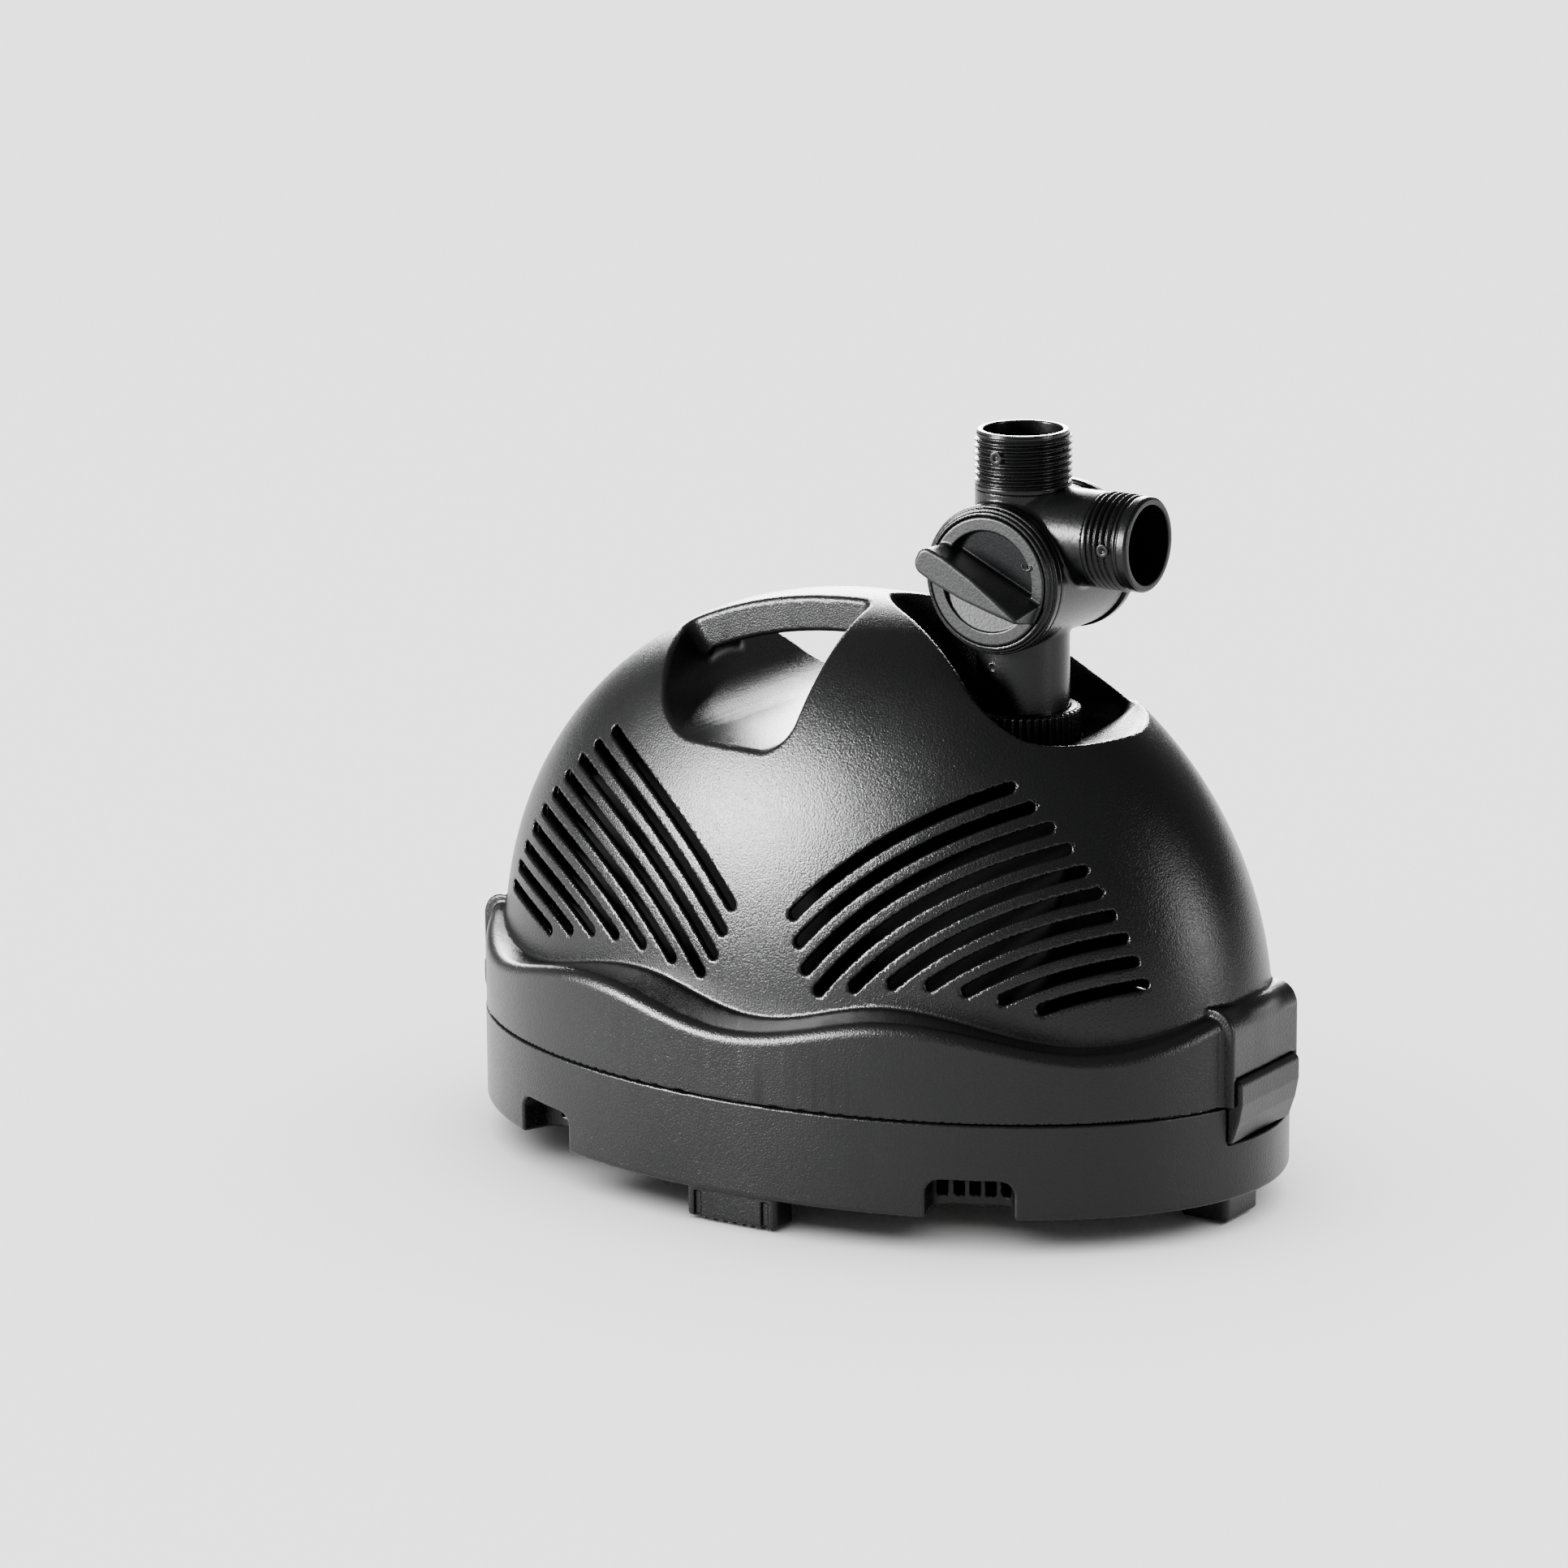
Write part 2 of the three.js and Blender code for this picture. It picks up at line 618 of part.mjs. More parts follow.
function valveBody() {
  const drumCentre = [VALVE_X, 0, DRUM_Z];
  const drum = rod(DRUM_RADIUS, DRUM_FRONT_Y, DRUM_BACK_Y, 'y', drumCentre);
  const chamber = rod(PLUG_RADIUS + GAP, DRUM_FRONT_Y - 1, DRUM_BACK_Y + 1, 'y', drumCentre);
  const riserWall = turned(threadedWall(DRUM_Z, VALVE_TOP_Z, RISER_THREAD_TURNS), 'z', [VALVE_X, 0, 0], THREAD_SEGMENTS);
  const sideLine = [0, 0, SIDE_Z];
  const sideWall = turned(threadedWall(VALVE_X, SIDE_END_X, SIDE_THREAD_TURNS), 'x', sideLine, THREAD_SEGMENTS);
  const collar = THREAD_RADIUS - 0.2;
  const spigot = turned([
    [BORE_RADIUS, SPIGOT_END_Z],
    [collar, SPIGOT_END_Z],
    [collar, SPIGOT_END_Z + COLLAR_HEIGHT],
    [SPIGOT_RADIUS, SPIGOT_END_Z + COLLAR_HEIGHT],
    [SPIGOT_RADIUS, DRUM_Z],
    [BORE_RADIUS, DRUM_Z],
  ], 'z', [VALVE_X, 0, 0], THREAD_SEGMENTS);
  const bores = join(
    rod(BORE_RADIUS, SPIGOT_END_Z - 5, VALVE_TOP_Z + 5, 'z', [VALVE_X, 0, 0], THREAD_SEGMENTS),
    rod(BORE_RADIUS, VALVE_X, SIDE_END_X + 5, 'x', sideLine, THREAD_SEGMENTS),
  );
  return join(drum, riserWall, sideWall, spigot).subtract(bores).subtract(chamber);
}

function unionNut() {
  const outline = [];
  const steps = NUT_TEETH * 2;
  for (let i = 0; i < steps; i += 1) {
    const angle = (2 * Math.PI * i) / steps;
    const radius = i % 2 ? NUT_RADIUS : NUT_RADIUS - 0.7;
    outline.push(new THREE.Vector2(VALVE_X + radius * Math.cos(angle), radius * Math.sin(angle)));
  }
  const bore = rod(THREAD_RADIUS + GAP, NUT_BOTTOM_Z - 1, SPIGOT_END_Z + COLLAR_HEIGHT + GAP, 'z', [VALVE_X, 0, 0]);
  const neck = rod(SPIGOT_RADIUS + GAP, NUT_BOTTOM_Z, NUT_TOP_Z + 1, 'z', [VALVE_X, 0, 0]);
  return alongZ(outline, NUT_BOTTOM_Z, NUT_TOP_Z).subtract(bore).subtract(neck);
}

function valveBezel() {
  return turned([
    [DIAL_RADIUS + GAP, DRUM_FRONT_Y - GAP],
    [BEZEL_RADIUS, DRUM_FRONT_Y - GAP],
    [BEZEL_RADIUS, DIAL_FACE_Y + 2.4],
    [BEZEL_RADIUS - 1.2, DIAL_FACE_Y + 0.6],
    [DIAL_RADIUS + 1, DIAL_FACE_Y + 0.2],
    [DIAL_RADIUS + GAP, DIAL_FACE_Y + 1],
  ], 'y', [VALVE_X, 0, DRUM_Z]);
}

/** The dial with its tapered grip bar; the bar's narrow end points along +X before it is turned. */
function valveKnob() {
  const back = DRUM_FRONT_Y - GAP;
  const ring = DIAL_RADIUS - 4.5;
  const dial = turned([
    [0, back],
    [DIAL_RADIUS, back],
    [DIAL_RADIUS, DIAL_FACE_Y + 0.8],
    [DIAL_RADIUS - 0.8, DIAL_FACE_Y],
    [ring, DIAL_FACE_Y],
    [ring - 12, DIAL_FACE_Y + 3],
    [0, DIAL_FACE_Y + 3],
  ], 'y', [0, 0, 0]);
  const half = GRIP_HALF_LENGTH;
  const crest = DIAL_FACE_Y - GRIP_HEIGHT;
  const wide = (half0, half1, y) => [
    new THREE.Vector3(-half + 2.2, y, -half0),
    new THREE.Vector3(half, y, -half1),
    new THREE.Vector3(half, y, half1),
    new THREE.Vector3(-half + 2.2, y, half0),
    new THREE.Vector3(-half, y, half0 * 0.45),
    new THREE.Vector3(-half, y, -half0 * 0.45),
  ];
  const grip = lofted([
    wide(GRIP_WIDE - 0.8, 3, DIAL_FACE_Y + 4),
    wide(GRIP_WIDE, GRIP_NARROW, crest + 1),
    wide(GRIP_WIDE - 0.8, GRIP_NARROW - 0.6, crest),
  ].map((ring0) => ring0.reverse()));
  const stem = rod(4.5, back - 1, DRUM_FRONT_Y + 3, 'y', [0, 0, 0], SMALL);
  return join(dial, grip, stem).rotate([0, -GRIP_ANGLE, 0]).translate([VALVE_X, 0, DRUM_Z]);
}

/** A drum with one open side that uncovers the riser, the side outlet or part of both. */
function valvePlug() {
  const front = DRUM_FRONT_Y + GAP;
  const back = DRUM_BACK_Y - GAP;
  const centre = [VALVE_X, 0, DRUM_Z];
  const disc = rod(PLUG_RADIUS, front, front + 4, 'y', centre);
  const socket = rod(5 + GAP, front - 1, front + 3, 'y', centre, SMALL);
  const wall = tube(PLUG_RADIUS, PLUG_RADIUS - 3, front + 2, back, 'y', centre);
  const window = [[0, 0], [60, -10], [60, 60], [-60, 60], [-60, -60], [-10, -60]];
  const open = alongY(window.map(([x, z]) => new THREE.Vector2(VALVE_X + x, DRUM_Z + z)), front + 4, back + 1);
  return disc.add(wall.subtract(open)).subtract(socket);
}

function valveRearCap() {
  const face = DRUM_BACK_Y + GAP;
  return turned([
    [0, face - 5],
    [PLUG_RADIUS - 4, face - 5],
    [PLUG_RADIUS - 4, face],
    [DRUM_RADIUS + 1, face],
    [DRUM_RADIUS + 1, face + 3],
    [DRUM_RADIUS - 0.5, face + 4],
    [0, face + 4],
  ], 'y', [VALVE_X, 0, DRUM_Z]);
}

// ---- Motor and pump ----

const AXIS = [0, 0, AXIS_Z];

/** Centres of the four screws round the pump's axis, as [y, z]. */
const SCREW_PLACES = [45, 135, 225, 315].map((degrees) => {
  const angle = radians(degrees);
  return [SCREW_CIRCLE * Math.cos(angle), AXIS_Z + SCREW_CIRCLE * Math.sin(angle)];
});

function screwHoles(radius, from, to) {
  return join(...SCREW_PLACES.map(([y, z]) => rod(radius, from, to, 'x', [0, y, z], SMALL)));
}

function motorHousing() {
  const inner = MOTOR_RADIUS - WALL;
  let housing = turned([
    [inner, MOTOR_REAR_X],
    [MOTOR_RADIUS, MOTOR_REAR_X],
    [MOTOR_RADIUS, MOTOR_FRONT_X],
    [CAN_RADIUS + GAP, MOTOR_FRONT_X],
    [CAN_RADIUS + GAP, MOTOR_FRONT_X - WALL],
    [inner, MOTOR_FRONT_X - WALL],
  ], 'x', AXIS);
  for (const x of LUG_X) {
    for (const y of [-1, 1]) {
      const [near, far] = [36 * y, (LUG_Y + 7) * y].sort((a, b) => a - b);
      const lug = box(x - 7, x + 7, near, far, LUG_Z, LUG_Z + 5);
      housing = housing.add(lug.subtract(rod(MOTOR_RADIUS - 1, x - 9, x + 9, 'x', AXIS)));
      housing = housing.subtract(rod(2.4, LUG_Z - 1, LUG_Z + 6, 'z', [x, LUG_Y * y, 0], SMALL));
    }
  }
  const bosses = join(...SCREW_PLACES.map(([y, z]) => rod(5, MOTOR_FRONT_X - 16, MOTOR_FRONT_X, 'x', [0, y, z], SMALL)));
  return housing.add(bosses).subtract(screwHoles(1.6, MOTOR_FRONT_X - 13, MOTOR_FRONT_X + 1));
}

function rotorCan() {
  const inner = CAN_RADIUS - CAN_WALL;
  const rear = -32;
  const front = MOTOR_FRONT_X + GAP;
  const can = turned([
    [0, rear],
    [CAN_RADIUS, rear],
    [CAN_RADIUS, front],
    [FLANGE_RADIUS - 9, front],
    [FLANGE_RADIUS - 9, front + 3],
    [inner, front + 3],
    [inner, rear + CAN_WALL + 4],
    [0, rear + CAN_WALL + 4],
  ], 'x', AXIS);
  return can.subtract(rod(SHAFT_RADIUS + GAP, rear + CAN_WALL, 0, 'x', AXIS, SMALL + 4));
}

function statorCore() {
  const yoke = box(-56, -47, -31, 31, AXIS_Z - 13, AXIS_Z + 13);
  const legs = join(
    box(-48, 6, -31, -21, AXIS_Z - 13, AXIS_Z + 13),
    box(-48, 6, 21, 31, AXIS_Z - 13, AXIS_Z + 13),
  );
  const poles = join(
    box(-22, 6, -31, -10, AXIS_Z - 13, AXIS_Z + 13),
    box(-22, 6, 10, 31, AXIS_Z - 13, AXIS_Z + 13),
  );
  return join(yoke, legs, poles).subtract(rod(CAN_RADIUS + GAP, -40, 20, 'x', AXIS));
}

/** A coil on one leg of the stator: side is -1 or 1 along Y. */
function coilBobbin(side) {
  const y = 26 * side;
  const leg = box(-60, 10, y - 5 - GAP, y + 5 + GAP, AXIS_Z - 13 - GAP, AXIS_Z + 13 + GAP);
  const barrel = box(-46, -24, y - 6.3, y + 6.3, AXIS_Z - 14.3, AXIS_Z + 14.3);
  const rims = [-46, -25].map((x) => box(x, x + 1, y - 8.6, y + 8.6, AXIS_Z - 19, AXIS_Z + 19));
  const can = rod(CAN_RADIUS + GAP, -40, 20, 'x', AXIS);
  return join(barrel, ...rims).subtract(leg).subtract(can);
}

function coilWinding(side) {
  const y = 26 * side;
  const hole = box(-60, 10, y - 6.6, y + 6.6, AXIS_Z - 14.6, AXIS_Z + 14.6);
  const can = rod(CAN_RADIUS + GAP, -40, 20, 'x', AXIS);
  return box(-44.7, -25.3, y - 8.2, y + 8.2, AXIS_Z - 18, AXIS_Z + 18).subtract(hole).subtract(can);
}

function pottingBlock() {
  const disc = rod(MOTOR_RADIUS - WALL - GAP, MOTOR_REAR_X - 1, -56.5, 'x', AXIS);
  return disc.subtract(rod(7 + GAP, MOTOR_REAR_X - 2, -50, 'x', [0, 0, GLAND_Z], SMALL + 4));
}

const GLAND_Z = AXIS_Z + 26;
const GLAND_BORE = 3.7;

function cableGland() {
  return turned([
    [GLAND_BORE, -57],
    [7, -57],
    [7, MOTOR_REAR_X - 1 - GAP],
    [9.5, MOTOR_REAR_X - 1 - GAP],
    [9.5, MOTOR_REAR_X - 5],
    [6.5, MOTOR_REAR_X - 5],
    [6.5, MOTOR_REAR_X - 12],
    [GLAND_BORE, MOTOR_REAR_X - 12],
  ], 'x', [0, 0, GLAND_Z], SMALL + 4);
}

function glandNut() {
  const hexagon = turned([
    [0, MOTOR_REAR_X - 17],
    [8, MOTOR_REAR_X - 17],
    [10, MOTOR_REAR_X - 15],
    [10, MOTOR_REAR_X - 5 - GAP],
    [0, MOTOR_REAR_X - 5 - GAP],
  ], 'x', [0, 0, GLAND_Z], 6);
  const seat = rod(6.5 + GAP, MOTOR_REAR_X - 13, MOTOR_REAR_X - 4, 'x', [0, 0, GLAND_Z], SMALL + 4);
  const bore = rod(GLAND_BORE, MOTOR_REAR_X - 18, MOTOR_REAR_X - 4, 'x', [0, 0, GLAND_Z], SMALL + 4);
  return hexagon.subtract(seat).subtract(bore);
}

function cableGrommet() {
  const z = PARTING_Z - 8;
  const y = GROMMET_Y;
  const r = GROMMET_RADIUS - 1 - GAP;
  const plug = turned([
    [0, -6], [r, -6], [r, 5], [r - 1.5, 8], [0, 8],
  ], 'y', [GROMMET_X, y, z], 16);
  const top = box(GROMMET_X - r, GROMMET_X + r, y - 6, y + 5, z, PARTING_Z - GAP);
  const wallTrim = lofted([oval(RIM_X + 1.5, RIM_Y + 1.5, 10), oval(RIM_X + 1.5, RIM_Y + 1.5, 60)]);
  return plug.add(top).intersect(wallTrim).subtract(rod(GLAND_BORE, -20, 20, 'y', [GROMMET_X, y, z], SMALL));
}

function magnetRotor() {
  const body = rod(ROTOR_RADIUS, -22, 14, 'x', AXIS);
  return body.subtract(rod(4 + GAP, -23, 15, 'x', AXIS, SMALL + 4));
}

/** Plain bush that the rotor runs on. */
function bush(from, to) {
  return tube(4, SHAFT_RADIUS + 0.1, from, to, 'x', AXIS, SMALL + 4);
}

function impeller() {
  const hub = rod(7, 14 + GAP, 58, 'x', AXIS, SMALL + 4);
  const plate = rod(IMPELLER_RADIUS, 47, 49.5, 'x', AXIS);
  const blades = [];
  for (let i = 0; i < IMPELLER_BLADES; i += 1) {
    const blade = box(48, 62, 5, IMPELLER_RADIUS - 0.5, -1.2, 1.2);
    blades.push(blade.rotate([(360 * i) / IMPELLER_BLADES, 0, 0]).translate(AXIS));
  }
  const bore = rod(4 + GAP, 10, 70, 'x', AXIS, SMALL + 4);
  return join(hub, plate, ...blades).subtract(bore);
}

function shaft() {
  return rod(SHAFT_RADIUS, -30, 78, 'x', AXIS, SMALL + 4);
}

function pumpChamber() {
  const back = CHAMBER_BACK_X;
  const front = CHAMBER_FRONT_X;
  const inner = CHAMBER_RADIUS - WALL - 2;
  const neck = MOTOR_FRONT_X + 3 + 2 * GAP;
  const body = turned([
    [9, back],
    [9, neck],
    [FLANGE_RADIUS, neck],
    [FLANGE_RADIUS, neck + 4],
    [CHAMBER_RADIUS, back + 2],
    [CHAMBER_RADIUS, front - 4],
    [FLANGE_RADIUS, front - 3],
    [FLANGE_RADIUS, front],
    [inner, front],
    [inner, back + WALL],
    [9, back + WALL],
  ], 'x', AXIS);
  const pipe = rod(THREAD_RADIUS - 1.6, AXIS_Z, OUTLET_TOP_Z, 'z', [VALVE_X, 0, 0]);
  const thread = rod(THREAD_RADIUS - 0.1, OUTLET_TOP_Z - 13, OUTLET_TOP_Z, 'z', [VALVE_X, 0, 0]);
  const bore = rod(BORE_RADIUS - 0.8, AXIS_Z, OUTLET_TOP_Z + 1, 'z', [VALVE_X, 0, 0]);
  const hollow = rod(inner, back + WALL, front + 1, 'x', AXIS).add(rod(9, back - 1, front, 'x', AXIS));
  const pillars = join(...SCREW_PLACES.map(([y, z]) => rod(4.5, neck + 1, front - 1, 'x', [0, y, z], SMALL)));
  return join(body, pipe, thread, pillars)
    .subtract(hollow)
    .subtract(bore)
    .subtract(screwHoles(2.3, neck - 1, front + 1))
    .subtract(sealGroove(front));
}

function sealGroove(front) {
  return tube(33.9, 31.9, front - 1.2, front + 1, 'x', AXIS);
}

function chamberSeal() {
  const z = CHAMBER_FRONT_X;
  return tube(33.6, 32.2, z - 0.9, z + GAP - 0.1, 'x', AXIS);
}

function chamberCover() {
  const back = CHAMBER_FRONT_X + GAP;
  const face = turned([
    [0, back],
    [FLANGE_RADIUS, back],
    [FLANGE_RADIUS, back + 3.5],
    [INTAKE_RADIUS + 4, back + 4],
    [INTAKE_RADIUS + 3, back + 18],
    [0, back + 18],
  ], 'x', AXIS);
  const throat = rod(INTAKE_RADIUS, back - 1, back + 20, 'x', AXIS);
  const spider = [];
  for (const degrees of [90, 210, 330]) {
    spider.push(box(back, back + 3, 3, INTAKE_RADIUS + 2, -1.4, 1.4).rotate([degrees, 0, 0]).translate(AXIS));
  }
  const hub = rod(5, back, back + 7, 'x', AXIS, SMALL + 4);
  const shaftSeat = rod(SHAFT_RADIUS + GAP, back - 1, back + 5, 'x', AXIS, SMALL + 4);
  return join(face.subtract(throat), hub, ...spider)
    .subtract(shaftSeat)
    .subtract(screwHoles(2.3, back - 1, back + 5));
}

/** An upright arch-shaped block along X, everywhere inset by the same amount. */
function archBlock(inset, rear, front) {
  const shape = new THREE.Shape();
  const halfWidth = COWL_HALF_WIDTH - inset;
  const height = COWL_TOP_Z - inset - COWL_EDGE_Z;
  shape.moveTo(halfWidth, COWL_EDGE_Z - inset);
  const steps = 10;
  for (let i = 0; i <= steps; i += 1) {
    const angle = (Math.PI * i) / steps;
    const z = COWL_EDGE_Z + height * Math.sin(angle) ** 0.85;
    shape.lineTo(halfWidth * Math.cos(angle), z);
  }
  shape.lineTo(-halfWidth, COWL_EDGE_Z - inset);
  const geometry = new THREE.ExtrudeGeometry(shape, { depth: front - rear, bevelEnabled: false });
  geometry.rotateX(Math.PI / 2);
  geometry.rotateZ(Math.PI / 2);
  geometry.translate(rear, 0, 0);
  return solid(geometry);
}

/** The cooling cowl stands on four legs and is open below and at the intake. */
function coolingCowl() {
  const hollow = archBlock(COWL_WALL, COWL_REAR_X + COWL_WALL, COWL_FRONT_X + 1);
  let cowl = archBlock(0, COWL_REAR_X, COWL_FRONT_X).subtract(hollow);
  for (const y of [-1, 1]) {
    const [near, far] = [(COWL_HALF_WIDTH - COWL_WALL) * y, COWL_HALF_WIDTH * y].sort((a, b) => a - b);
    for (const x of [-84, 32]) {
      cowl = cowl.add(box(x - 8, x + 8, near, far, FLOOR_Z + WALL + GAP, COWL_EDGE_Z + 4));
    }
  }
  return cowl.subtract(rod(THREAD_RADIUS + 2, 120, 160, 'z', [VALVE_X, 0, 0], THREAD_SEGMENTS));
}

/** A pan-head screw along X or Z; the head sits on the face at height 0 and the shank runs down. */
function screw(axis, centre, length) {
  const profile = [
    [0, -length], [1.4, -length], [1.4, GAP], [3.6, GAP], [3.6, 1.8], [2.6, 2.7], [0, 2.7],
  ];
  return turned(profile, axis, centre, SMALL);
}

// ---- Assembly ----

const pump = new THREE.Group();

pump.add(
  piece('upper_shell', upperShell(), shellPlastic()),
  piece('lower_shell', lowerShell(), shellPlastic()),
  piece('latch_right', endLatch(1), shellPlastic()),
  piece('latch_left', endLatch(-1), shellPlastic()),
  piece('cable_grommet', cableGrommet(), rubber()),
);

for (const foot of FEET) {
  pump.add(piece(`foot_pad_${foot.name}`, footBlock(foot, -2.5 - GAP, 0, PAD_HEIGHT), rubber()));
}

pump.add(
  piece('valve_body', valveBody(), valvePlastic()),
  piece('union_nut', unionNut(), valvePlastic()),
  piece('valve_bezel', valveBezel(), valvePlastic()),
  piece('valve_knob', valveKnob(), dialPlastic()),
  piece('valve_plug', valvePlug(), innerPlastic()),
  piece('valve_rear_cap', valveRearCap(), valvePlastic()),
  piece('nut_gasket', tube(THREAD_RADIUS - 0.3, BORE_RADIUS, OUTLET_TOP_Z + GAP, SPIGOT_END_Z - GAP, 'z', [VALVE_X, 0, 0]), rubber()),
);

pump.add(
  piece('motor_housing', motorHousing(), innerPlastic()),
  piece('potting_block', pottingBlock(), resin()),
  piece('stator_core', statorCore(), laminations()),
  piece('coil_bobbin_front', coilBobbin(-1), innerPlastic()),
  piece('coil_bobbin_rear', coilBobbin(1), innerPlastic()),
  piece('coil_winding_front', coilWinding(-1), copper()),
  piece('coil_winding_rear', coilWinding(1), copper()),
  piece('cable_gland', cableGland(), innerPlastic()),
  piece('gland_nut', glandNut(), innerPlastic()),
  piece('rotor_can', rotorCan(), innerPlastic()),
  piece('rotor_shaft', shaft(), ceramic()),
  piece('magnet_rotor', magnetRotor(), ferrite()),
  piece('rear_bush', bush(-21, -9), resin()),
  piece('front_bush', bush(48, 60), resin()),
  piece('impeller', impeller(), innerPlastic()),
  piece('pump_chamber', pumpChamber(), innerPlastic()),
  piece('chamber_seal', chamberSeal(), rubber()),
  piece('chamber_cover', chamberCover(), innerPlastic()),
  piece('cooling_cowl', coolingCowl(), innerPlastic()),
);

SCREW_PLACES.forEach(([y, z], i) => {
  const face = CHAMBER_FRONT_X + GAP + 3.5;
  const body = screw('x', [face, y, z], face - MOTOR_FRONT_X + 10);
  pump.add(piece(`cover_screw_${i + 1}`, body, steel()));
});

LUG_X.forEach((x, i) => {
  [-LUG_Y, LUG_Y].forEach((y, j) => {
    const number = 2 * i + j + 1;
    const mount = tube(5.2, 1.9, LUG_Z - 4 + GAP, LUG_Z - GAP, 'z', [x, y, 0], SMALL);
    pump.add(piece(`rubber_mount_${number}`, mount, rubber()));
    pump.add(piece(`motor_screw_${number}`, screw('z', [x, y, LUG_Z + 5], 22), steel()));
  });
});

export default pump;
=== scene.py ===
import math

import bpy
import numpy as np
from mathutils import Matrix, Vector


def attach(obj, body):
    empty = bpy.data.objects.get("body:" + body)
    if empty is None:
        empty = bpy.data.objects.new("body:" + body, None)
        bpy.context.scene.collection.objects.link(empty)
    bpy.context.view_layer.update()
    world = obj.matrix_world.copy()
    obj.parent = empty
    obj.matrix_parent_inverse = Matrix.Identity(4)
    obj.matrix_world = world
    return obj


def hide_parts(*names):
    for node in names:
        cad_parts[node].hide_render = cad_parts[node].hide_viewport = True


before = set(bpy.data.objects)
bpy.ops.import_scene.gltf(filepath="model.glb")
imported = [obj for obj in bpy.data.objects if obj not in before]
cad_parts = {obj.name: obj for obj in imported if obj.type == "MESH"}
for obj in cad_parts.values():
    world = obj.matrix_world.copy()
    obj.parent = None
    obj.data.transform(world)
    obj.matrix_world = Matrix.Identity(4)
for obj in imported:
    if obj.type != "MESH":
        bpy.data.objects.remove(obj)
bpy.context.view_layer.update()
MM = 0.001

# ---- Camera ----
# A long lens a little above the pump, turned towards its valve end and tipped a touch.

TURN, TIP, ROLL = math.radians(32.7), math.radians(14.08), math.radians(0.48)
AWAY, ASIDE, ABOVE, AIM_Z = 2.3998, 0.03309, 0.08573, 0.0455
LENS = 158.07
level = Vector((math.cos(TURN), math.sin(TURN), 0))
back = Vector((math.sin(TURN) * math.cos(TIP), -math.cos(TURN) * math.cos(TIP), math.sin(TIP)))
rise = back.cross(level)
right = level * math.cos(ROLL) - rise * math.sin(ROLL)
up = rise * math.cos(ROLL) + level * math.sin(ROLL)
place = back * AWAY - level * ASIDE + rise * ABOVE + Vector((0, 0, AIM_Z))

camera_data = bpy.data.cameras.new("camera")
camera_data.lens = LENS
camera_data.sensor_width = 36
camera_data.clip_end = 20
camera = bpy.data.objects.new("camera", camera_data)
camera.matrix_world = Matrix(
    (
        (right.x, up.x, back.x, place.x),
        (right.y, up.y, back.y, place.y),
        (right.z, up.z, back.z, place.z),
        (0, 0, 0, 1),
    )
)
bpy.context.scene.collection.objects.link(camera)
bpy.context.scene.camera = camera

# ---- Lower shell ----
# An injection-moulded tray in satin black plastic, with four feet, four low arches whose inner
# walls are slotted for water, posts for the motor and a notch for the cable grommet. Its shape is
# worked out as a distance field in millimetres, which gives every edge its moulded radius.


def both(a, b, r=0.0):
    """Where a and b both hold, with the outer edge between them rounded to r."""
    return np.minimum(np.maximum(a, b), -r) + np.hypot(np.maximum(a + r, 0), np.maximum(b + r, 0))


def either(a, b, r=0.0):
    """Where a or b holds, with a fillet of r between them."""
    return np.maximum(np.minimum(a, b), r) - np.hypot(np.maximum(r - a, 0), np.maximum(r - b, 0))


def without(a, b, r=0.0):
    """a with b cut out of it, the cut's edge rounded to r."""
    return both(a, -b, r)


def slab(value, low, high):
    return np.maximum(low - value, value - high)


def oval_wall(x, y, half_x, half_y):
    """Distance to an upright oval wall, negative inside."""
    reach = np.sqrt((x / half_x) ** 2 + (y / half_y) ** 2) + 1e-6
    steep = np.sqrt((x / half_x**2) ** 2 + (y / half_y**2) ** 2) / reach
    return (reach - 1) / np.maximum(steep, 1 / 200)


def slope_of(field, points, reach=0.04):
    """Which way the field rises at each point."""
    slope = np.empty_like(points)
    for axis in range(3):
        nudge = np.zeros(3)
        nudge[axis] = reach
        slope[:, axis] = (field(*(points + nudge).T) - field(*(points - nudge).T)) / (2 * reach)
    return slope


def settle(field, points, most):
    """Moves points onto the surface, each by at most a given distance a step."""
    for _ in range(2):
        slope = slope_of(field, points)
        size = np.maximum((slope**2).sum(1), 0.05)
        step = np.clip(field(*points.T) / size, -most, most)
        points = points - slope * step[:, None]
    return points


